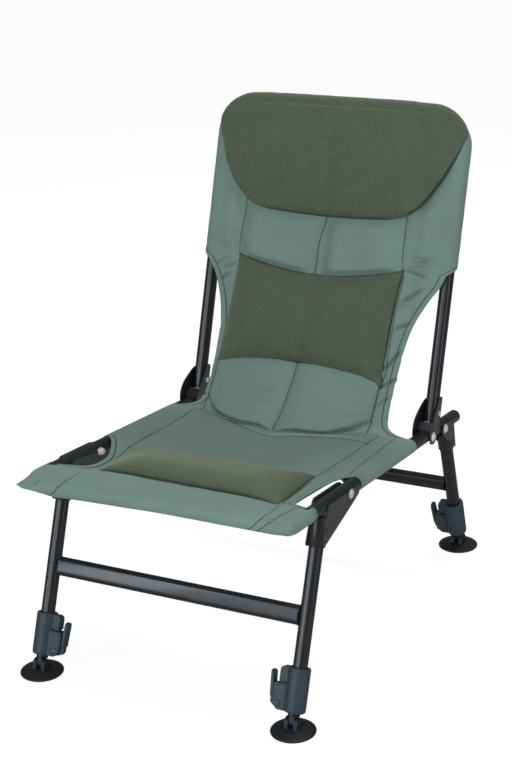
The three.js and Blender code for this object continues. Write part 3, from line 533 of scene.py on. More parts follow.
def pivot_bolt(side):
    """Domed head outside, hexagon nut and thread end inside."""
    bm = bmesh.new()
    out = side * (plate_outset + 0.3)
    middle = side * frame_half
    turned(bm, [(8.8, 0), (8.8, 0.9), (5.5, 1.1)], along_x((middle + out, 0, 0), side))
    dome_head(bm, along_x((middle + out + side * 0.8, 0, 0), side), 7.4, 3.6)
    turned(bm, [(4, -40), (4, 0.5)], along_x((middle + out, 0, 0), side))
    turned(bm, [(7.4, 0), (7.4, 0.8), (4, 0.9)], along_x((middle - out, 0, 0), -side))
    hexagon(bm, along_x((middle - out - side * 0.7, 0, 0), -side), 6.9, 4.9)
    turned(bm, [(4, -1), (4, 6.0), (3.4, 6.6), (0, 6.6)], along_x((middle - out, 0, 0), -side), 20)
    return bm


for hand, side in HANDS:
    place = SEAT @ Matrix.Translation((0, back_pivot_station, 0))
    finished(pivot_bolt(side), f"fold_bolt_{hand}", place, "zinc", "seat_frame",
             [f"hinge_bolt_{hand}"])

# ---- Backrest tubes, top tube and hinge plates
for hand, side in HANDS:
    back_tube = bmesh.new()
    corner = Vector((side * (frame_half - back_bend_radius), back_setback,
                     back_height - back_bend_radius))
    start = Vector((side * frame_half, back_setback, back_tube_start))
    straight = back_height - back_bend_radius - back_tube_start
    tube(back_tube, tube_radius, start, Z, [14, 6, straight - 20])
    lowest = {v for v in back_tube.verts if v.co.z < back_tube_start + 15}
    press_groove(back_tube, lowest, start, (0.12, -1, 0), 0.7)
    below_bend = start.z + straight - 0.1
    top = [e for e in back_tube.edges if all(v.co.z > below_bend for v in e.verts)]
    lid = [f for f in back_tube.faces if all(v.co.z > below_bend for v in f.verts)]
    bmesh.ops.delete(back_tube, geom=lid, context="FACES_ONLY")
    bmesh.ops.spin(back_tube, geom=top, cent=corner, axis=Y, angle=-side * math.pi / 2, steps=14,
                   use_merge=False, dvec=(0, 0, 0))
    bmesh.ops.holes_fill(back_tube, edges=back_tube.edges, sides=0)
    finished(back_tube, f"backrest_tube_{hand}", BACK, "black_steel", "backrest",
             [f"back_tube_{hand}"])
    kept(f"back_tube_plug_{hand}", "black_plastic")

half = frame_half - back_bend_radius - butt_gap
top_tube = tube(bmesh.new(), tube_radius, (-half, back_setback, back_height), X, [2 * half])
finished(top_tube, "backrest_top_tube", BACK, "black_steel", "backrest", ["back_top_tube"])

boss, lobe, rivet_rise = 15.0, 31.0, 44.0
grey_outline = [
    (-0.75 * boss, -boss, 0.7 * boss),
    (0.95 * boss, -boss, 0.7 * boss),
    (back_setback + 0.75 * tube_radius, boss, 0.4 * boss),
    (back_setback + 0.75 * tube_radius, 76, 0.4 * boss),
    (back_setback - 0.1 * tube_radius, 76, 0.4 * boss),
    (-0.8 * boss, 0.7 * boss, 0.6 * boss),
]
lobe_outline = [
    (-0.6 * lobe, -0.55 * lobe, 0.4 * lobe),
    (0.5 * lobe, -0.5 * lobe, 0.35 * lobe),
    (back_setback + 0.2 * tube_radius, 0.9 * boss, 0.4 * boss),
    (back_setback + 0.9 * tube_radius, 1.2 * rivet_rise, 0.4 * boss),
    (back_setback + 0.7 * tube_radius, 1.62 * rivet_rise, 0.4 * boss),
    (0.55 * back_setback, 1.5 * rivet_rise, 0.7 * boss),
    (-0.85 * lobe, 1.15 * lobe, 0.45 * lobe),
    (-1.12 * lobe, 0.3 * lobe, 0.4 * lobe),
]
for hand, side in HANDS:
    middle = side * frame_half
    grey = plate(bmesh.new(), grey_outline, middle + plate_inset, middle + plate_outset)
    finished(grey, f"fold_plate_{hand}", BACK, "grey_steel", "backrest",
             [f"hinge_plate_{hand}"], edge=0.5)
    lobed = plate(bmesh.new(), lobe_outline, middle - plate_outset, middle - plate_inset)
    finished(lobed, f"fold_arm_{hand}", BACK, "black_steel", "backrest",
             [f"hinge_arm_{hand}"], edge=0.5)
    rivet = bmesh.new()
    for way in (-1, 1):
        spot = (middle + way * (plate_outset + 0.2), back_setback, rivet_rise)
        dome_head(rivet, along_x(spot, way), 5.4, 2.6)
    finished(rivet, f"fold_rivet_{hand}", BACK, "zinc", "backrest", [f"hinge_rivet_{hand}"])


# ---- Legs: brackets, tubes, crossbars, clamps, levers and mud feet
def cheek_outline(leg, way, side):
    """The cheek on a bracket's left stands up beside the rail; the one on its right stays low."""
    lean = math.tan(leg["rail_angle"])
    axis_at_rail = leg["y"] / math.cos(leg["rail_angle"])
    r = tube_radius
    if leg["name"] == "front" and way < 0:
        top = 13 if side > 0 else 9
        return [
            (axis_at_rail - 60 * lean - 1.05 * r, -60, 0.5 * r),
            (axis_at_rail - 65 * lean - 0.4 * r, -65, 0.4 * r),
            (17.1, -17, 1.2 * r),
            (38, -7.5, 5),
            (28.5, 5, 10),
            (14, top, 8),
            (-92, top, 13),
            (-94, -8, 6),
        ]
    if leg["name"] == "front":
        return [
            (axis_at_rail - 65 * lean - 0.4 * r, -65, 0.4 * r),
            (17.1, -17, 1.2 * r) if side > 0 else (30, -26, r),
            (38, -7.5, 5) if side > 0 else (64, -17, 5),
            (28.5, 5, 10) if side > 0 else (56, -4, 6),
            (axis_at_rail - 0.2 * r, 5, 5),
            (axis_at_rail - 0.8 * r, -10, 5),
        ]
    return [
        (-7.8, -12, 5),
        (axis_at_rail - 54 * lean + 0.9 * r, -54, 0.4 * r),
        (55, -25, r),
        (47, 3, 5),
        (-5.2, 10.2, 5),
        (-13, 0, 5),
    ]


# The lever hinges on a pin at this reach and height on its clamp, behind the housing's face
housing_reach, pin_reach, pin_height = 40.0, 34.0, 17.0


def clamp_parts(bm):
    """The clamp's sleeve, its lever housing, upper ear and the pin with its screw head."""
    turned(bm, [(10.9, 5), (15.5, 5), (17.6, 5.9), (18.5, 8), (18.9, 12), (18.9, 78.5), (18.4, 80),
                (17.4, 81), (12.8, 81), (12.8, 74)])
    for low, high in ((-12, -5.5), (5.5, 12)):
        plate(bm, [(14, 6, 0), (29, 6, 3), (39, 17, 6), (39, 51, 4), (14, 51, 0)], low, high, "y")
    plate(bm, [(14, 6, 0), (23, 6, 0), (23, 34, 0), (39, 34, 0), (39, 51, 4), (14, 51, 0)],
          -5.6, 5.6, "y")
    plate(bm, [(13, 54, 0), (31.5, 54, 2), (31.5, 79.5, 7), (13, 79.5, 0)], -8, 8, "y")
    plate(bm, [(10, 50, 0), (30.5, 50, 3), (30.5, 66, 0), (10, 66, 0)], -4.5, 4.5, "y")
    return bm


def clamp_panels(bm):
    """Raised panel on the housing's front with a ring around the screw."""
    plate(bm, [(16, 8, 1.5), (28, 8, 3), (36.5, 18, 4), (36.5, 48, 2), (16, 48, 1.5)],
          -12.9, -11.9, "y")
    turned(bm, [(6.6, -0.4), (6.6, 0.7), (5.4, 0.9), (5.2, 0.2), (0, 0.2)],
           along_y((pin_reach - 6, -12.9, pin_height), -1), 24)
    return bm


def clamp_screw(bm):
    turned(bm, [(0, 0.2), (1.4, 0.3), (1.9, 1.2), (3.6, 1.4), (4.5, 0.9), (4.6, 0)],
           along_y((pin_reach - 6, -12.9, pin_height), -1), 24)
    for way in (-1, 1):
        dome_head(bm, along_y((pin_reach, way * 12, pin_height), way), 4.4, 1.8)
    return bm


def clamp_lever():
    bm = bmesh.new()
    root, thick = housing_reach - 0.5, 5.4
    lean = math.tan(math.radians(4))
    plate(bm, [
        (pin_reach - 8, pin_height - 4.8, 3.2),
        (pin_reach + 3.2, pin_height - 8, 3.2),
        (root + thick, pin_height - 1.6, 3.2),
        (root + thick, pin_height + 11.2, 0),
        (root, pin_height + 11.2, 0),
        (pin_reach - 8, pin_height + 4.8, 3.2),
    ], -5, 5, "y")
    arm = set(bm.verts)
    low, high = pin_height + 8, pin_height + 53
    plate(bm, [(-8.5, low, 2), (8.5, low, 2), (8.5, high, 7), (-8.5, high, 7)], root, root + thick)
    for v in bm.verts:
        if v not in arm:
            v.co.x += (v.co.z - low) * lean
    return bm


def mud_foot():
    floor = -foot_pin_height
    bm = turned(bmesh.new(), [
        (0, floor), (37.6, floor), (38.7, floor + 0.7), (39, floor + 1.9), (38.7, floor + 3.2),
        (37.4, floor + 4.2), (34, floor + 4.9), (24, floor + 8.2), (17, floor + 9.3),
        (0, floor + 9.6),
    ], steps=64)
    for way in (-1, 1):
        plate(bm, [(-13.5, floor + 4, 0), (13.5, floor + 4, 0), (8.8, 8.8, 8.7), (-8.8, 8.8, 8.7)],
              way * 5, way * 12.4)
    return bm


def knuckle():
    """End plug of an inner leg: its tongue stands between the foot's lugs, on a pin."""
    bm = turned(bmesh.new(), [(0, 9.6), (9.7, 9.6), (10.4, 10.2), (10.4, 12), (8.7, 12),
                              (8.7, 25.6), (0, 25.6)])
    plate(bm, [(-7.6, -7.6, 7.5), (7.6, -7.6, 7.5), (7.6, 11, 0), (-7.6, 11, 0)], -4.5, 4.5)
    for way in (-1, 1):
        dome_head(bm, along_x((way * 12.5, 0, 0), way), 4.3, 1.6)
    turned(bm, [(2.6, -25), (2.6, 0)], along_x((12.5, 0, 0)), 16)
    return bm


# Crossbars: the height of their middle over the ground and their depth, and half their width
BARS = {"front": (183, 34), "rear": (150, 31)}
bar_half_width = 9.5


def crossbar(depth, half):
    """A flat-oval tube from leg to leg."""
    bm = bmesh.new()
    flat = depth / 2 - bar_half_width
    made = bmesh.ops.create_circle(bm, cap_ends=True, radius=bar_half_width, segments=40,
                                   matrix=Matrix.Translation((-half, 0, 0))
                                   @ Matrix.Rotation(math.pi / 2, 4, "Y"))
    for v in made["verts"]:
        v.co.z += math.copysign(flat, v.co.z) if abs(v.co.z) > 0.01 else 0
    grown = bmesh.ops.extrude_face_region(bm, geom=list(bm.faces))["geom"]
    bmesh.ops.translate(bm, verts=[g for g in grown if isinstance(g, bmesh.types.BMVert)],
                        vec=(2 * half, 0, 0))
    return bm


def weld_bead(bm, place, reach_z, reach_y):
    """A thin run of weld where a crossbar meets a leg."""
    steps = 36
    for k in range(steps):
        angle = 2 * math.pi * k / steps
        spot = Vector((0, reach_y * math.cos(angle), reach_z * math.sin(angle)))
        bmesh.ops.create_icosphere(bm, subdivisions=1, radius=1.7,
                                   matrix=place @ Matrix.Translation(spot))


for leg in LEGS:
    name, axes, body = leg["name"], leg["axes"], f"{leg['name']}_legs"
    tube_foot = outer_tube_foot - leg["drop"]
    for hand, side in HANDS:
        middle = side * frame_half

        def leg_piece(bm, piece, place, slot, rides=body, node=None, edge=0.0):
            stands_for = [f"{name}_{node}_{hand}"] if node else ()
            finished(bm, f"{piece}_{name}_{hand}", place, slot, rides, stands_for, edge)

        leg_tube = tube(bmesh.new(), tube_radius, (middle, leg["y"], tube_foot), Z,
                        [2, leg["top"] - tube_foot - 6, 4])
        ends = {v for v in leg_tube.verts if v.co.z > leg["top"] - 1}
        press_groove(leg_tube, ends, (middle, leg["y"], 0), (0.1, -1, 0), 0.5)
        leg_piece(leg_tube, "leg", axes, "black_steel", node="leg")

        cheeks = bmesh.new()
        for way in (-1, 1):
            plate(cheeks, cheek_outline(leg, way, side), middle + way * plate_inset,
                  middle + way * plate_outset)
        bmesh.ops.rotate(cheeks, cent=(middle, 0, 0), verts=cheeks.verts,
                         matrix=Matrix.Rotation(leg["rail_angle"], 3, "X"))
        leg_piece(cheeks, "bracket_cheeks", axes, "grey_steel", node="bracket", edge=0.5)
        top = leg["top"] - 0.3
        low = top - (50 if name == "front" else 39)
        collar = turned(bmesh.new(), [(12.8, low), (14.8, low), (15.2, low + 0.6),
                                      (15.2, top - 0.5), (14.8, top), (12.9, top)],
                        Matrix.Translation((middle, leg["y"], 0)), 40)
        leg_piece(collar, "bracket_collar", axes, "black_steel")
        rivets = bmesh.new()
        for way in (-1, 1):
            spot = (middle + way * plate_outset, leg["y"], leg["top"] - 20.4)
            dome_head(rivets, along_x(spot, way), 4.2, 1.2)
        leg_piece(rivets, "bracket_rivet", axes, "black_steel")
        leg_piece(pivot_bolt(side), "leg_bolt", axes, "zinc", node="pivot_bolt")

        handed = Matrix.Scale(-1, 4, X) if side > 0 else Matrix.Identity(4)
        pin = axes @ Matrix.Translation((middle, leg["y"], -leg["drop"]))
        clamp_axes = pin @ Matrix.Translation((0, 0, clamp_foot)) @ handed
        leg_piece(clamp_parts(bmesh.new()), "clamp", clamp_axes, "blue_grey_plastic",
                  node="clamp", edge=0.7)
        leg_piece(clamp_panels(bmesh.new()), "clamp_panel", clamp_axes, "blue_grey_plastic",
                  edge=0.3)
        leg_piece(clamp_screw(bmesh.new()), "clamp_screw", clamp_axes, "grey_steel")
        leg_piece(clamp_lever(), "lever", clamp_axes, "blue_grey_plastic",
                  f"{name}_lever_{hand}", "lever", 0.9)

        inner_foot = (middle, leg["y"], inner_tube_foot - leg["drop"])
        inner = tube(bmesh.new(), inner_tube_radius, inner_foot, Z, [inner_tube_length])
        inner_body = f"{name}_inner_leg_{hand}"
        leg_piece(inner, "inner_leg", axes, "black_steel", inner_body, "inner_leg", 0.4)
        leg_piece(knuckle(), "knuckle", pin, "black_plastic", inner_body, "knuckle", 0.5)
        leg_piece(mud_foot(), "mud_foot", Matrix.Translation(pin.translation), "black_plastic",
                  f"{name}_foot_{hand}", "foot", 0.6)

    bar_height, bar_depth = BARS[name]
    tilt_now = abs(leg["angle"])
    below_pivot = bar_height - axes.translation.z - abs(leg["y"]) * math.sin(tilt_now)
    bar_axes = axes @ Matrix.Translation((0, leg["y"], below_pivot / math.cos(tilt_now)))
    half = frame_half - tube_radius + 0.6
    finished(crossbar(bar_depth, half), f"crossbar_{name}", bar_axes, "black_steel", body,
             [f"{name}_crossbar"])
    beads = bmesh.new()
    for way in (-1, 1):
        weld_bead(beads, Matrix.Translation((way * (half - 1.2), 0, 0)), bar_depth / 2,
                  bar_half_width)
    finished(beads, f"crossbar_weld_{name}", bar_axes, "black_steel", body, clean=False)


# ---- The cover: one padded sling from the front tube to the top of the backrest
NO_SEAM = 60.0
# Radii of the cloth round the tubes, and its length round them to the far side
seat_wrap, back_wrap, front_wrap = 13.7, 17.0, 12.9
wrap_length = 52.0
# The sling's length from crease to backrest, and the lumbar pad on it
sling_length, lumbar_middle, lumbar_half = 330.0, -6.0, 176.0


def across(x):
    """How far out a spot is: 0 in the middle, 1 on the tubes."""
    return min(abs(x) / frame_half, 1)


def crease_at(x):
    """Station at which the seat meets the sling: the crease is an arc, rearmost at its sides."""
    share = min(across(x) / 0.9, 1)
    return crease_station + (side_sleeve_end - crease_station) * math.sin(share * math.pi / 2) ** 2


def channel_at(x, share):
    """A stitched channel on either side, where the padding is thin."""
    return bump(abs(x) / frame_half - share, 0.06)


# A front notch: (share of its length, share of its depth)
NOTCH = [(0, 0), (0.03, 0.36), (0.08, 0.7), (0.14, 0.85), (0.24, 0.97), (0.4, 1), (0.6, 0.93),
         (0.8, 0.6), (0.94, 0.25), (1, 0)]


def notch_inset(s):
    """How far a front notch cuts into the seat cover at a station."""
    share = (s - notch_front) / (notch_rear - notch_front)
    return notch_depth * through(NOTCH, share) if 0 < share < 1 else 0.0


def seat_rise(x, station):
    """Height of the seat cover's upper side over the frame's plane: crowned, and sagging."""
    along = min(max((station - front_tube_station) / (crease_at(x) - front_tube_station), 0), 1)
    dip = 1 - abs(2 * along - 1) ** (2.4 if along < 0.5 else 4)
    dish = (1 - across(x) ** 4) * dip
    crown = 9 * (1 - 0.6 * channel_at(x, 0.755))
    rise = sleeve_radius + (crown - 20) * dish
    slack = math.sin(math.pi * min(max((station - 62) / 188, 0), 1))
    rise -= 11 * slack * smooth(110, 205, abs(x))
    return rise - (sleeve_radius - seat_wrap) * smooth(215, 249, abs(x))


def back_cover_half(height):
    above = max(height - back_height + back_bend_radius, 0) / back_bend_radius
    return frame_half - back_bend_radius * (1 - math.sqrt(max(1 - above * above, 0)))


def back_rise(x, height=back_sleeve_start):
    """How far the back cover stands out in front of the backrest's plane."""
    share = min(abs(x) / back_cover_half(height), 1)
    up = min((height - back_sleeve_start) / (back_height - back_sleeve_start), 1)
    dish = (1 - share**4) * (1 - up**8)
    crown = 10 * (1 - 0.6 * channel_at(x, 0.755) - 0.6 * bump(x, 15))
    return back_wrap + (crown - 5) * dish


def fold_at(x, s, folds):
    """Height of the sewn-in folds (x0, s0, x1, s1, width, height) at a spot of the flat cloth."""
    total = 0
    for x0, s0, x1, s1, width, height in folds:
        dx, ds = x1 - x0, s1 - s0
        length = math.hypot(dx, ds)
        t = ((x - x0) * dx + (s - s0) * ds) / length**2
        if -0.3 < t < 1.3:
            off = ((x - x0) * ds - (s - s0) * dx) / length
            if abs(off) < 4 * width:
                ends = smooth(-0.25, 0.25, t) * smooth(1.25, 0.75, t)
                total += height * ends * (bump(off, width) - 0.45 * bump(off - 1.6 * width, width))
    return total


def crumple(x, s, seed, scale):
    return noise.noise(Vector((x * scale, s * scale, seed)))


def unevenness(x, s, broad_seed, fine_seed, fine=0.08):
    """Broad and fine unevenness of the stuffing."""
    return crumple(x, s, broad_seed, 0.03) + 0.6 * crumple(x, s, fine_seed, fine)


def ladder(low, high, step):
    count = max(1, round((high - low) / step))
    return [low + (high - low) * k / count for k in range(count + 1)]


def round_sides(count):
    """Columns of a cover: count across, then ten round each side's tube and two behind it."""
    left, right = ladder(-2, -1, 0.1)[:-1], ladder(1, 2, 0.1)[1:]
    return [-3, -2.5] + left + ladder(-1, 1, 2 / count) + right + [2.5, 3]


def nearest(x, lines):
    """Signed distance to the nearest of some seams, given where they cross this row."""
    return min((x - line for line in lines), key=abs, default=NO_SEAM)


def cloth_grid(columns, rows, place, drop=lambda c, r: False):
    """A cloth laid out as a grid. For each column and row, place gives the spot, the flat spot,
    the distances to seams and hem with the folds' depth, and how full the padding is."""
    bm = bmesh.new()
    uv = bm.loops.layers.uv.new("cloth")
    seams = bm.verts.layers.float_vector.new("seams")
    folds = bm.verts.layers.float_vector.new("folds")
    weight = bm.verts.layers.deform.verify()
    wide, long = len(columns) - 1, len(rows) - 1
    bmesh.ops.create_grid(bm, x_segments=wide, y_segments=long, size=1.0)
    where = {}
    for v in bm.verts:
        where[v] = (round((v.co.x + 1) / 2 * wide), round((v.co.y + 1) / 2 * long))
    gone = []
    for f in bm.faces:
        c = sum(columns[where[v][0]] for v in f.verts) / 4
        r = sum(rows[where[v][1]] for v in f.verts) / 4
        if drop(c, r):
            gone.append(f)
    bmesh.ops.delete(bm, geom=gone, context="FACES")
    flat = {}
    for v in bm.verts:
        spot, flat[v], sewn, depth = place(columns[where[v][0]], rows[where[v][1]])
        v.co = spot
        v[seams], v[folds] = sewn
        v[weight][0] = depth
    for f in bm.faces:
        for loop in f.loops:
            loop[uv].uv = flat[loop.vert] * 0.001
    bmesh.ops.remove_doubles(bm, verts=bm.verts, dist=0.05)
    return bm


def padded_cloth(bm, name, place, slot, body, stands_for, depth, thin):
    """Finishes a cloth grid as a padded piece: depth deep where full, thin at hems."""
    made = finished(bm, name, place, slot, None, stands_for, sharp=80, clean=False)
    made.vertex_groups.new(name="filling")
    wall = made.modifiers.new("filling", "SOLIDIFY")
    wall.thickness, wall.offset = depth * 0.001, -1
    wall.vertex_group, wall.thickness_vertex_group = "filling", thin / depth
    if body:
        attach(made, body)
    return made


def hem_distance(x, s):
    """Distance from the edge of a front notch, inside the cloth."""
    return min(
        math.hypot(abs(x) - (frame_half - notch_inset(t)), s - t)
        for t in ladder(notch_front, notch_rear, 6)
    )


def rail_cover(x, s):
    """Height of the tubes' upper side at a spot in plan, with the cloth on it."""
    bend = rail_bend_radius
    near_x, near_s = abs(x) - (frame_half - bend), front_tube_station + bend - s
    if near_x > 0 and near_s > 0:
        off = math.hypot(near_x, near_s) - bend
    elif near_x > 0:
        off = abs(x) - frame_half
    else:
        off = s - front_tube_station
    reach = tube_radius + 1
    return math.sqrt(max(reach**2 - off**2, 0))


# Where seams and hems run: (station, x) along the seat, negative stations down the front hem
LEFT_SEAM = [(-36, -199), (-25, -188), (-13, -176), (-2, -169), (4, -168), (32, -173), (60, -177),
             (226, -191), (443, -197), (520, -200)]
RIGHT_SEAM = [(-36, 181), (-25, 190), (-13, 200), (-2, 206), (4, 207), (32, 205), (100, 190),
              (145, 179), (250, 180), (440, 183), (520, 188)]
HEM_SEAM = [(-36, 196), (-25, 206), (-13, 218), (-2, 226), (4, 227), (85, 230)]
SLEEVE_SEAM = [(260, 237), (300, 231), (440, 224), (520, 222)]
# Across the chair, by x: how far the front hem hangs down, how far the crease lies ahead of its
# arc, and how far up the sling its stuffed lobes begin
FRONT_SAG = [(-249, 2.5), (-215, 5.5), (-191, 6.1), (-159, 4.3), (-51, 1.6), (15, 0), (249, 0.8)]
CREASE_AHEAD = [(-200, 0), (-101, 2), (-57, 8), (5, 21), (33, 12), (81, 9), (132, 18), (160, 32),
                (182, 42), (200, 46)]
LOBE_FOOT = [(-200, 70), (-180, 60), (-150, 26), (-117, 8), (-75, 9), (-34, 20), (0, 9), (40, 18),
             (75, 12), (101, 9), (129, 30), (160, 56), (185, 70)]
SEAT_FOLDS = [
    (-235, 2, -205, 18, 5, 1.6),
    (-243, 22, -222, 40, 5, 1.2),
    (-225, -2, -196, 6, 4, 1.4),
    (-200, 66, -176, 40, 7, 0.9),
    (214, 8, 236, 30, 6, 1.2),
    (-184, 300, -180, 420, 6, 0.9),
    (196, 480, 228, 448, 6, 1.2),
]


def seat_seams(station):
    """Where the long seams cross a row. The seat pad covers the left one in between."""
    lines = [through(RIGHT_SEAM, station)]
    if station < 72 or station > 190:
        lines.append(through(LEFT_SEAM, station))
    return lines


def seat_second_seam(x, station):
    """Distance to the right side's outer seam: the hem's in front, the sleeve's behind."""
    if station < (notch_front + notch_rear) / 2:
        off = x - through(HEM_SEAM, station)
        return off if station < notch_front - 4 else math.copysign(NO_SEAM, off)
    off = x - through(SLEEVE_SEAM, station)
    return off if station > notch_rear else math.copysign(NO_SEAM, off)


def seat_place(c, r):
    """c runs across, past 1 round the rails. r runs back from the front tube in millimetres,
    and below 0 it runs down round the front tube."""
    u, side = min(max(c, -1), 1), math.copysign(1, c)
    wrap_x, wrap_y = max(abs(c) - 1, 0), max(-r, 0)
    s = front_tube_station + max(r, 0)
    x = u * (frame_half - notch_inset(s))
    station, back_share = s, 0
    if s > notch_rear:
        back_share = (s - notch_rear) / (side_sleeve_end - notch_rear)
        station = notch_rear + (crease_at(x) - notch_rear) * back_share
    inner = 1 - across(x) ** 4
    rise = seat_rise(x, station) - crease_drop * back_share**6 * inner
    behind = station - crease_at(x) + through(CREASE_AHEAD, x)
    if back_share and -197 < x < 184:
        rise += 3.5 * smooth(0, 7, behind) * smooth(197, 180, abs(x)) - 1.4 * bump(behind, 3)
    along = station - wrap_length * min(wrap_y, 1)
    seam, second = nearest(x, seat_seams(along)), seat_second_seam(x, along)
    hem = hem_distance(x, station) if station < notch_rear + 40 and abs(x) > 150 else NO_SEAM
    rise -= 1.3 * (bump(seam, 2.8) + bump(second, 2.8))
    if hem < 30 and not wrap_x:
        rise += 0.9 * smooth(9.5, 6.5, hem) - 0.8 * bump(hem - 9, 1.8)
    if not wrap_x:
        rise += 0.5 * (1 - across(x) ** 6) * unevenness(x, station, 3.1, 8.7, 0.07)
    fold = fold_at(x, station, SEAT_FOLDS) if wrap_x < 0.5 else 0
    rise += fold
    turn_x, turn_y = min(wrap_x, 1) * math.pi, min(wrap_y, 1) * math.pi
    spot = Vector((x, station, rise))
    radius = front_wrap
    if wrap_y:
        sag = through(FRONT_SAG, x)
        ripple = 0.5 * crumple(x, 40 * wrap_y, 5.5, 0.045) + 0.2 - 0.5 * bump(seam, 2.8)
        spot.y = front_tube_station - (radius + ripple) * math.sin(turn_y)
        reach = rise if wrap_y < 0.5 else radius
        spot.z = reach * math.cos(turn_y) - sag * math.sin(turn_y / 2) ** 2
        if wrap_y > 1:
            inward = wrap_y - 1
            spot.y += 34 * inward
            spot.z += (radius + 3) * inward**1.5 * 0.9
    if wrap_x:
        radius = seat_wrap
        ripple = 0.5 * crumple(40 * wrap_x, station, 2.2 + side, 0.035)
        spot.x = side * (frame_half + (radius + ripple) * math.sin(turn_x))
        spot.z = radius * math.cos(turn_x)
        if wrap_y:
            drop = 3.5 * wrap_y if side < 0 else 1.5 * wrap_y
            spot.z = (radius * math.cos(turn_y) - drop) * math.cos(turn_x)
        if wrap_x > 1:
            spot.x -= side * 28 * (wrap_x - 1)
            spot.z += (radius + 3) * (wrap_x - 1) ** 1.5
    tip = Vector((abs(spot.x) - frame_half, spot.y + 6)).length
    if side < 0 and tip < 70:
        near = smooth(60, 5, tip)
        spot.y -= 9 * near * (1 if wrap_y else smooth(50, 0, station))
        spot.x += 5 * near * (wrap_x > 0)
        flat_z = spot.z * (1 - 0.5 * near) - 1.5 * near
        spot.z = flat_z + 1.8 * near * noise.noise(spot * 0.11)
        if not (wrap_x > 0.5 or wrap_y > 0.45):
            spot.z = max(spot.z, rail_cover(spot.x, spot.y))
    elif side > 0 and tip < 40:
        near = smooth(30, 4, tip)
        spot.x -= 4 * near
        spot.y += 4 * near
    flat = Vector((x + side * wrap_length * wrap_x, station - wrap_length * wrap_y))
    line, second = (NO_SEAM, NO_SEAM) if wrap_x else (seam, second)
    if back_share and -186 < x < 183 and abs(behind) < abs(line):
        line = behind
    edge = hem - 9 if not wrap_x else NO_SEAM
    if wrap_x and not wrap_y:
        ends = (station - notch_front, station - notch_rear)
        edge = min((abs(end) for end in ends)) - 7
    depth = inner * (0 if wrap_x or wrap_y else 1)
    depth *= smooth(0, 14, hem) * smooth(0, 25, max(r, 0) + 1)
    return spot, flat, (Vector((line, station, edge)), Vector((second, fold, 0))), depth


def seat_drop(c, r):
    in_notch = notch_front < r + front_tube_station < notch_rear
    return abs(c) > 1 and (in_notch or r < -0.5)


rows = [-2, -1.5] + ladder(-1, 0, 0.1)[:-1]
rows += ladder(0, side_sleeve_end - front_tube_station, 4.2)
seat = cloth_grid(round_sides(124), rows, seat_place, seat_drop)
padded_cloth(seat, "seat_cover_cloth", SEAT, "sage_polyester", "seat_frame", ["seat_cover"],
             depth=12.0, thin=2.2)

# Back cover: panel, with the sleeve round both tubes and over the top
back_straight = back_height - back_bend_radius - back_sleeve_start
back_length = back_straight + back_bend_radius * math.pi / 2
BACK_FOLDS = [
    (-244, 330, -196, 352, 6, 1.8),
    (-246, 352, -204, 366, 5, 1.2),
    (-236, 322, -200, 330, 4, 1.5),
    (186, 340, 240, 322, 6, 1.8),
    (205, 395, 246, 408, 5, 1.4),
    (175, 322, 222, 352, 5, -1.4),
    (208, 470, 246, 486, 6, 1.0),
    (-150, 380, -120, 392, 6, 0.9),
    (40, 386, 84, 392, 7, 0.8),
]


def back_outline(r):
    """Height, half width and turn of the side at r millimetres up the side of the panel."""
    if r <= back_straight:
        return back_sleeve_start + r, frame_half, 0.0
    angle = min((r - back_straight) / back_bend_radius, math.pi / 2)
    height = back_height - back_bend_radius + back_bend_radius * math.sin(angle)
    return height, frame_half - back_bend_radius * (1 - math.cos(angle)), angle


def back_seams(height):
    """Where the back cover's three seams cross a row."""
    return [-186 + 6 * smooth(330, 400, height), -14 + 10 * smooth(330, 400, height), 162]


def pocket_puff(x, above, seam, sewn):
    """Bulge of the stuffed pockets between head pad and lumbar pad, above the latter's edge."""
    share = min(abs(x) / frame_half, 1)
    full = 7.5 * smooth(0, 9, above) + 4.5 * bump(above - 22, 17)
    full *= smooth(-0.01, 2, above) * smooth(128, 88, above)
    return full * (1 - sewn * bump(seam, 22)) * (1 - share**6) * smooth(245, 200, abs(x))


def back_surface(x, r, sewn=1.0):
    """Spot and outward way on the back cover, x and r measured along the cloth from its middle
    and from its lower edge; beyond the tubes it turns round them. sewn is how far its seams
    are drawn in."""
    height, half, angle = back_outline(min(max(r, 0), back_length))
    side = math.copysign(1, x)
    beyond = max(abs(x) - half, r - back_length, 0)
    bed = side * min(abs(x), half)
    if beyond <= 0:
        rise = back_rise(bed, height)
        seam = nearest(bed, back_seams(height))
        share = min(abs(bed) / half, 1)
        low_panel = smooth(440, 400, height)
        u = (bed - lumbar_middle) / lumbar_half
        rise += pocket_puff(bed, height - back_sleeve_start + 33 - 28 * u * u, seam, sewn)
        rise -= 1.9 * sewn * bump(seam, 3.2) * low_panel
        rise += 0.6 * (1 - share**6) * smooth(0, 25, r) * unevenness(bed, height, 1.7, 4.9)
        rise += fold_at(bed, height, BACK_FOLDS)
        return Vector((bed, back_setback - rise, height)), -Y
    out = Vector((side * math.cos(angle), 0, math.sin(angle)))
    turn = min(beyond / wrap_length, 1) * math.pi
    way = out * math.sin(turn) - Y * math.cos(turn)
    ripple = 0.6 * crumple(beyond + bed, height, 6.1 + side, 0.04) * math.sin(turn)
    ripple += (-2.6 if side > 0 else 0.8) * math.sin(2 * angle) ** 2
    if turn < math.pi / 2:
        ripple += fold_at(bed, height, BACK_FOLDS) * math.cos(turn / 2) ** 2
    spot = Vector((bed, back_setback, height)) + way * (back_wrap + ripple)
    if beyond > wrap_length:
        inward = (beyond - wrap_length) / wrap_length
        spot -= out * 30 * inward
        spot.y -= (back_wrap - 1) * inward**1.5
    return spot, way


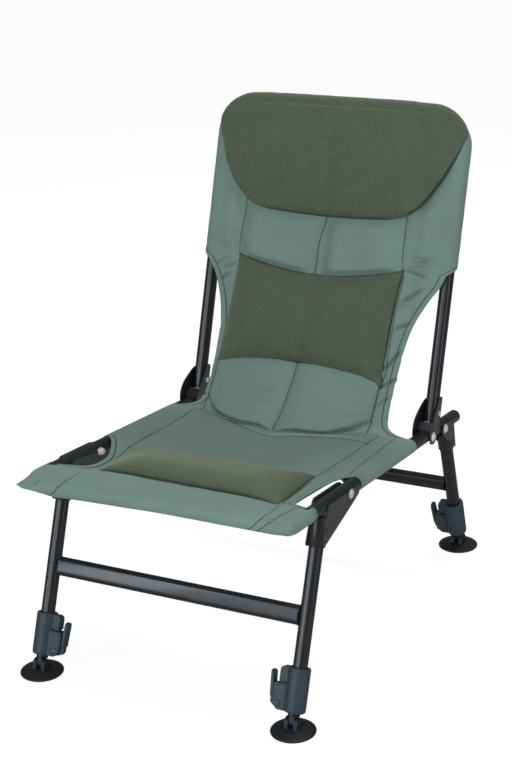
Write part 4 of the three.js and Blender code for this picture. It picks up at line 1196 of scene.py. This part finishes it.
def back_place(c, r):
    height, half = back_outline(min(r, back_length))[:2]
    side = math.copysign(1, c)
    x = min(abs(c), 1) * half + max(abs(c) - 1, 0) * wrap_length
    spot = back_surface(side * x, r)[0]
    inside = abs(c) <= 1 and r <= back_length
    seam = nearest(side * x, back_seams(height)) if inside and height < 440 else NO_SEAM
    depth = (1 - min(x / half, 1) ** 4) * inside
    depth *= smooth(back_length, back_length - 30, r)
    fold = fold_at(side * x, height, BACK_FOLDS)
    sewn = Vector((seam, height, NO_SEAM)), Vector((NO_SEAM, fold, 0))
    if side > 0:
        spot.z += 11 * smooth(165, 245, x) * smooth(40, 0, r)
    return spot, Vector((side * x, r + back_sleeve_start)), sewn, depth


over_top = [k / 10 for k in range(1, 11)] + [1.5, 2]
rows = ladder(0, back_length, 4.2) + [back_length + wrap_length * k for k in over_top]
back = cloth_grid(round_sides(120), rows, back_place,
                  lambda c, r: abs(c) > 1 and r > back_length)
back_cloth = padded_cloth(back, "back_cover_cloth", BACK, "sage_polyester", "backrest",
                          ["back_cover"], depth=12.0, thin=2.2).data
# Its lower edge, where the sling is sewn on, is kept crisp
heights = back_cloth.attributes["seams"].data
crisp = back_cloth.attributes.get("sharp_edge")
crisp = crisp or back_cloth.attributes.new("sharp_edge", "BOOLEAN", "EDGE")
for line in back_cloth.edges:
    ends = [heights[k].vector.y for k in line.vertices]
    crisp.data[line.index].value |= max(ends) < back_sleeve_start + 0.01

# Lower back: the sling between the crease and the backrest, in chair axes
# (share of its length, half width as a share of frame_half)
SLING_WIDTH = [(0, 0.96), (0.03, 0.905), (0.078, 0.85), (0.143, 0.8), (0.25, 0.775), (0.41, 0.77),
               (0.5, 0.777), (0.59, 0.787), (0.7, 0.825), (0.82, 0.9), (0.9, 0.975), (0.94, 1.02),
               (0.975, 1.075), (1, 1.11), (1.03, 1.12)]
SLING_FOLDS = [
    (166, 130, 192, 146, 3.8, -4.4),
    (168, 160, 188, 188, 3.8, -4.6),
    (170, 220, 194, 231, 3.8, -4.2),
    (168, 254, 188, 260, 4, -2.6),
    (172, 262, 210, 290, 4.4, -3.8),
    (168, 326, 214, 312, 5, -3.4),
    (166, 96, 186, 114, 4, -3.0),
    (-217, 266, -198, 280, 3.8, -4.2),
    (-214, 288, -190, 299, 3.8, -3.4),
    (-232, 297, -206, 312, 4.4, -2.6),
    (-206, 72, -188, 60, 4, -3.0),
    (-203, 120, -189, 106, 4, -3.0),
    (-206, 200, -190, 190, 4, -2.4),
    (-60, 96, -24, 110, 5, -1.8),
    (-54, 76, -16, 84, 5, -1.4),
    (120, 62, 158, 74, 5, -1.6),
]


def sling_curve(x):
    """Four points of the sling's curve from the crease up to the backrest."""
    fall = crease_drop * (1 - across(x) ** 4)
    station = crease_at(x)
    start = SEAT @ Vector((0, station - 1, seat_rise(x, station) - fall))
    end = BACK @ Vector((0, back_setback - back_rise(x), back_sleeve_start))
    seat_way, back_way = SEAT.to_3x3() @ Y, BACK.to_3x3() @ Z
    return [start, start + seat_way * 70 * (1 - 0.6 * across(x)), end - back_way * 85, end]


def sling_place(x, share, rise):
    """Spot at a share of the sling's curve, rise in front of it."""
    a, b, c, d = sling_curve(x)
    t, n = share, 1 - share
    spot = a * n**3 + b * (3 * n * n * t) + c * (3 * n * t * t) + d * t**3
    way = ((b - a) * (n * n) + (c - b) * (2 * n * t) + (d - c) * (t * t)).normalized()
    puff = 6 * math.sin(math.pi * share) * (1 - across(x) ** 4)
    spot = spot + Vector((0, -way.z, way.y)) * (puff + rise)
    spot.x = x
    return spot


def lumbar_edges(u):
    """Lower and upper edge of the lumbar pad, as shares of the sling's length."""
    return 0.467 - 0.082 * u * u, 0.9 + 0.085 * u * u


def sling_seams(v):
    beside_pad = smooth(0.4, 0.46, v)
    half = 178 - 7 * (1 - min(((v - 0.7) / 0.29) ** 2, 1))
    left = (-184 - 4 * v) * (1 - beside_pad) + (-6 - half) * beside_pad
    right = (165 - 2 * v) * (1 - beside_pad) + (half - 6) * beside_pad
    right -= 8 * smooth(0.93, 0.99, v)
    if 0.6 < v < 0.85:
        return [left, right]
    return [left, -1 - 3 * v if v < 0.6 else -14, right]


def lower_back_place(c, r):
    """c across from edge to edge, r from the crease (0) to the backrest (1)."""
    reach = r + (0.018 * bump(r - 0.8, 0.1) - 0.035 * smooth(0.9, 0.98, r)) * (c > 0)
    half = frame_half * through(SLING_WIDTH, reach)
    flat_x = c * half
    beyond = max(abs(flat_x) - frame_half, 0)
    x = math.copysign(min(abs(flat_x), frame_half), c)
    s = sling_length * r
    seams = sling_seams(r)
    seam = nearest(x, seams)
    edge = half - abs(flat_x)
    inside = seams[0] < x < seams[-1]
    lobe = (1 - 0.55 * bump(seam, 30)) * (1 - 0.45 * bump(seam, 7)) if inside else 0
    foot = through(LOBE_FOOT, x)
    up = min(max((s - foot) / 26, 0), 1)
    rise = 15 * lobe * math.sqrt(1 - (1 - up) ** 2) * smooth(215, 75, s)
    rise += 2.5 * smooth(foot, 0.5 * foot, s) * smooth(197, 180, abs(x))
    rise -= (1.6 * bump(s - foot, 4) + 1.9 * bump(seam, 3.2)) * smooth(0, 6, s)
    above_pad = s - sling_length * lumbar_edges((x - lumbar_middle) / lumbar_half)[1]
    rise += pocket_puff(x, above_pad, seam, 1)
    rise -= 0.3 * smooth(0.99, 1, r)
    rise += 1.3 * smooth(12, 9, edge) - 0.9 * bump(edge - 11.5, 1.8)
    loose = smooth(0, 0.1, r) * smooth(1, 0.92, r)
    rise += 0.6 * loose * unevenness(x, s, 9.2, 2.9)
    fold = fold_at(x, s, SLING_FOLDS) * smooth(0, 0.06, r) * smooth(1.02, 0.98, r)
    rise += fold
    spot = sling_place(x, r, rise)
    spot += Vector((0, -1, -0.3)) * 9 * lobe * smooth(0, 5, s - foot) * bump(s - foot - 12, 13)
    if beyond:
        turn = beyond / wrap_length * math.pi
        way = BACK.to_3x3() @ Y * (1 - math.cos(turn))
        spot += (way + X * math.copysign(math.sin(turn), x)) * back_wrap
    line = NO_SEAM if beyond else seam
    depth = (1 - across(x) ** 4) * smooth(0, 14, edge)
    sewn = Vector((line, s, edge - 11.5)), Vector((NO_SEAM, fold, 0))
    return spot, Vector((flat_x, s)), sewn, depth


rows = ladder(0, 0.26, 0.26 / 48) + ladder(0.26, 1.05, 0.79 / 84)[1:]
lower = cloth_grid(ladder(-1, 1, 2 / 160), rows, lower_back_place)
sling = padded_cloth(lower, "lower_back_cloth", CHAIR, "sage_polyester", None,
                     ["lower_back_sling"], depth=12.0, thin=2.4)
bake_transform(sling)


# ---- Pads: crowned fleece cushions sewn down along their edges
def crown(u, v, fill, power=3.2):
    """A cushion's height over its bed, u from -1 to 1 and v from 0 to 1."""
    edge_u, edge_v = 1 - abs(u) ** power, 1 - abs(2 * v - 1) ** power
    return fill * math.sqrt(max(edge_u * edge_v, 0))


def seat_pad_place(u, v, bed):
    """The pad's corners are where its seams meet; its sides pull in between them."""
    left, right = -165 - 25 * v, 188 - 9 * v
    draw = 1 - 0.03 * (1 - (2 * v - 1) ** 2)
    x = (left + right) / 2 + u * (right - left) / 2 * draw
    front, rear = 90 - 6 * u + 2 * (1 - u * u), 252 + 4 * u + 5 * (1 - u * u)
    station = front + (rear - front) * v
    lift = crown(u, v, 21) * (1 - 0.45 * smooth(0.25, 1, v))
    return Vector((x, station, seat_rise(x, station) + (bed or lift)))


# Half width and crown of the head pad, at r up the back cover and above the pad's lower edge
HEAD_HALF = [(86, 124), (92, 154), (112, 184), (134, 204), (173, 229), (216, 248), (240, 259),
             (262, 272), (297, 264), (330, 232), (375, 215)]
HEAD_CROWN = [(0, 0), (8, 10), (24, 17), (55, 23), (100, 25), (150, 22), (190, 17), (225, 11),
              (250, 5), (268, 2), (300, 0)]


def head_pad_place(u, v, bed):
    """Its lower edge is sewn to the panel; its top and upper sides turn over the tubes."""
    low = 86 - 5 * (1 - u * u)
    r = low + (372 - low) * v
    x = u * through(HEAD_HALF, r)
    spot, way = back_surface(x, r, smooth(22, 0, r - low))
    half = back_outline(min(r, back_length))[1]
    edge_x = max(1 - (abs(x) / (half - 3)) ** 3, 0)
    lift = through(HEAD_CROWN, r - low) * math.sqrt(edge_x)
    rim = min((1 - abs(u)) * 250, (1 - v) * 290, v * 290)
    lift += (2.5 if x > 150 and r > 200 else 4) * smooth(0, 9, rim)
    return spot + way * (bed or lift)


def lumbar_pad_place(u, v, bed):
    """It lies on the sling, drawn in a little more on its right side."""
    draw = 1 - 0.04 * (1 - (2 * v - 1) ** 2) if u > 0 else 1.01 + 0.012 * (1 - v)
    x = lumbar_middle + u * lumbar_half * draw
    low, high = lumbar_edges(u)
    return sling_place(x, low + (high - low) * v, bed or crown(u, v, 25))


def swell(made, sewn, cap, slack, pressure=4.0, frames=20):
    """Blows a sewn pad up a little as cloth, so that it pulls at its seams. No point moves
    further than the cap."""
    scene = bpy.context.scene
    at_rest = [v.co.copy() for v in made.data.vertices]
    held = made.vertex_groups.new(name="sewn")
    held.add(sewn, 1.0, "REPLACE")
    cloth = made.modifiers.new("swelling", "CLOTH")
    rules = cloth.settings
    rules.quality = 6
    rules.mass = 0.3
    rules.tension_stiffness = rules.compression_stiffness = 15
    rules.shear_stiffness, rules.bending_stiffness = 8, 1.0
    rules.use_pressure, rules.uniform_pressure_force = True, pressure
    rules.shrink_min = -slack
    rules.vertex_group_mass = held.name
    rules.effector_weights.gravity = 0
    cloth.collision_settings.use_collision = False
    cloth.point_cache.frame_start, cloth.point_cache.frame_end = 1, frames
    for frame_now in range(1, frames + 1):
        scene.frame_set(frame_now)
    full = made.evaluated_get(bpy.context.evaluated_depsgraph_get()).data
    moved = [v.co.copy() for v in full.vertices]
    made.modifiers.remove(cloth)
    scene.frame_set(1)
    limit = cap * 0.001
    for v, rest, spot in zip(made.data.vertices, at_rest, moved):
        move = spot - rest
        if move.length > limit:
            move *= limit / move.length
        v.co = rest + move
    made.vertex_groups.remove(held)


def pad(name, place, axes, body, node, cap, slack):
    """A fleece pad: its crowned top and its flat bed, sewn together round the rim."""
    bm = bmesh.new()
    bmesh.ops.create_grid(bm, x_segments=76, y_segments=48, size=1.0)
    rim = bm.verts.layers.float.new("rim")
    below = bmesh.ops.duplicate(bm, geom=bm.verts[:] + bm.edges[:] + bm.faces[:])
    beds = {g for g in below["geom"] if isinstance(g, bmesh.types.BMVert)}
    sunk = {}
    for v in bm.verts:
        u, t = v.co.x, (v.co.y + 1) / 2
        sunk[v] = v in beds or max(abs(u), abs(2 * t - 1)) > 0.999
        # About how many millimetres it is to the rim, for the painted shade line beside it
        v[rim] = min((1 - abs(u)) * 190, (1 - abs(2 * t - 1)) * 75)
        v.co = place(u, t, -1.5 if v in beds else 0)
    bmesh.ops.bridge_loops(bm, edges=[e for e in bm.edges if e.is_boundary])
    bmesh.ops.recalc_face_normals(bm, faces=bm.faces)
    bm.verts.index_update()
    sewn = [v.index for v in bm.verts if sunk[v]]
    bmesh.ops.transform(bm, matrix=MILLIMETRES @ axes, verts=bm.verts)
    made = built(bm, name, SLOTS["olive_fleece"])
    if cap:
        swell(made, sewn, cap, slack)
    finer = made.modifiers.new("finer", "SUBSURF")
    finer.levels = finer.render_levels = 1
    if body:
        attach(made, body)
    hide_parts(node)
    return made


pad("seat_pad_fleece", seat_pad_place, SEAT, "seat_frame", "seat_pad", 0, 0)
pad("head_pad_fleece", head_pad_place, BACK, "backrest", "head_pad", 6, 0.012)
lumbar = pad("lumbar_pad_fleece", lumbar_pad_place, CHAIR, None, "lumbar_pad", 6, 0.01)
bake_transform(lumbar)


# ---- Stage, lights and camera
def stage_material():
    """A matt floor that the camera sees white and that reflections show dark."""
    made = Finish("studio_floor")
    made.tree.nodes.remove(made.shader)
    seen = made.node("LightPath", output="Is Camera Ray")
    mirrored = made.node("LightPath", output="Is Glossy Ray")
    matt = made.node("BsdfDiffuse", None, {"Color": (0.82, 0.82, 0.82, 1)})
    glow = made.node("Emission", None, {"Color": seen * 0.97 + 0.1})
    glowing = made.math("MAXIMUM", seen, mirrored) * 0.85
    mix = made.node("MixShader", None, [glowing, matt, glow])
    made.feed(made.tree.nodes["Material Output"].inputs[0], mix)
    return made.material


ground = bmesh.new()
bmesh.ops.create_grid(ground, x_segments=1, y_segments=1, size=14.0)
floor = built(ground, "studio_floor", stage_material())
floor.location.z = -0.0006

# The sky is white, dim in reflections and bright only to the camera
world = bpy.data.worlds.new("studio")
bpy.context.scene.world = world
sky = Nodes(world)
mirrored = sky.node("LightPath", output="Is Glossy Ray")
seen = sky.node("LightPath", output="Is Camera Ray")
air = sky.tree.nodes["Background"]
sky.feed(air.inputs["Color"], (1, 1, 1, 1))
sky.feed(air.inputs["Strength"], mirrored * -0.3 + 0.42 + seen * 0.58)


def lamp(name, place, target, size, power, mirrored=True, tint=(1, 1, 1), lit=True):
    """An area light turned to its target. mirrored: reflections show it. lit: it lights cloth
    and other matt faces."""
    light = bpy.data.lights.new(name, "AREA")
    light.color = tint
    light.shape, light.size, light.size_y = "RECTANGLE", *size
    light.energy = power
    made = placed(name, light)
    made.location = place
    made.rotation_euler = (Vector(place) - Vector(target)).to_track_quat("Z", "Y").to_euler()
    made.visible_glossy, made.visible_diffuse = mirrored, lit


cool = (0.84, 0.93, 1.0)
lamp("left_strip", (-1.6, -2.9, 1.3), (0, 0, 0.35), (0.42, 2.4), 23, tint=cool)
lamp("left_card", (-0.6, -3.2, 1.2), (0.25, 0.2, 0.5), (0.6, 2.4), 24, tint=cool, lit=False)
lamp("front_softbox", (1.1, -3.2, 1.9), (0, 0, 0.5), (1.8, 1.6), 62, mirrored=False)
lamp("top_softbox", (0.3, 0.3, 3.3), (0, 0, 0.3), (1.8, 0.9), 24)
lamp("right_strip", (3.2, -0.9, 1.3), (0, 0, 0.5), (0.22, 2.6), 14, tint=cool)
lamp("hair_light", (0.2, 2.3, 2.6), (0, 0.3, 0.85), (1.6, 0.5), 60, mirrored=False)

# The camera, fitted to measured points of the photograph
photo_height, focal_length_in_pixels = 768, 1748.1022734
yaw, pitch, roll = 0.4834147, 0.3573140, -0.0385452
eye = Vector((1385.0518, -2252.8898 + chair_shift, 1559.2609)) * 0.001
camera = bpy.data.cameras.new("photo_camera")
camera.sensor_fit, camera.sensor_height, camera.sensor_width = "VERTICAL", 36.0, 36.0
camera.lens = focal_length_in_pixels * 36 / photo_height
camera.clip_start, camera.clip_end = 0.05, 60
view = placed("photo_camera", camera)
level = math.cos(pitch)
back_way = Vector((math.sin(yaw) * level, -math.cos(yaw) * level, math.sin(pitch)))
right_way = Vector((math.cos(yaw), math.sin(yaw), 0))
up_way = back_way.cross(right_way)
right = right_way * math.cos(roll) + up_way * math.sin(roll)
up = up_way * math.cos(roll) - right_way * math.sin(roll)
turn = Matrix((right, up, back_way)).transposed().to_4x4()
view.matrix_world = Matrix.Translation(eye) @ turn
bpy.context.scene.camera = view
bpy.context.scene.view_settings.view_transform = "Standard"
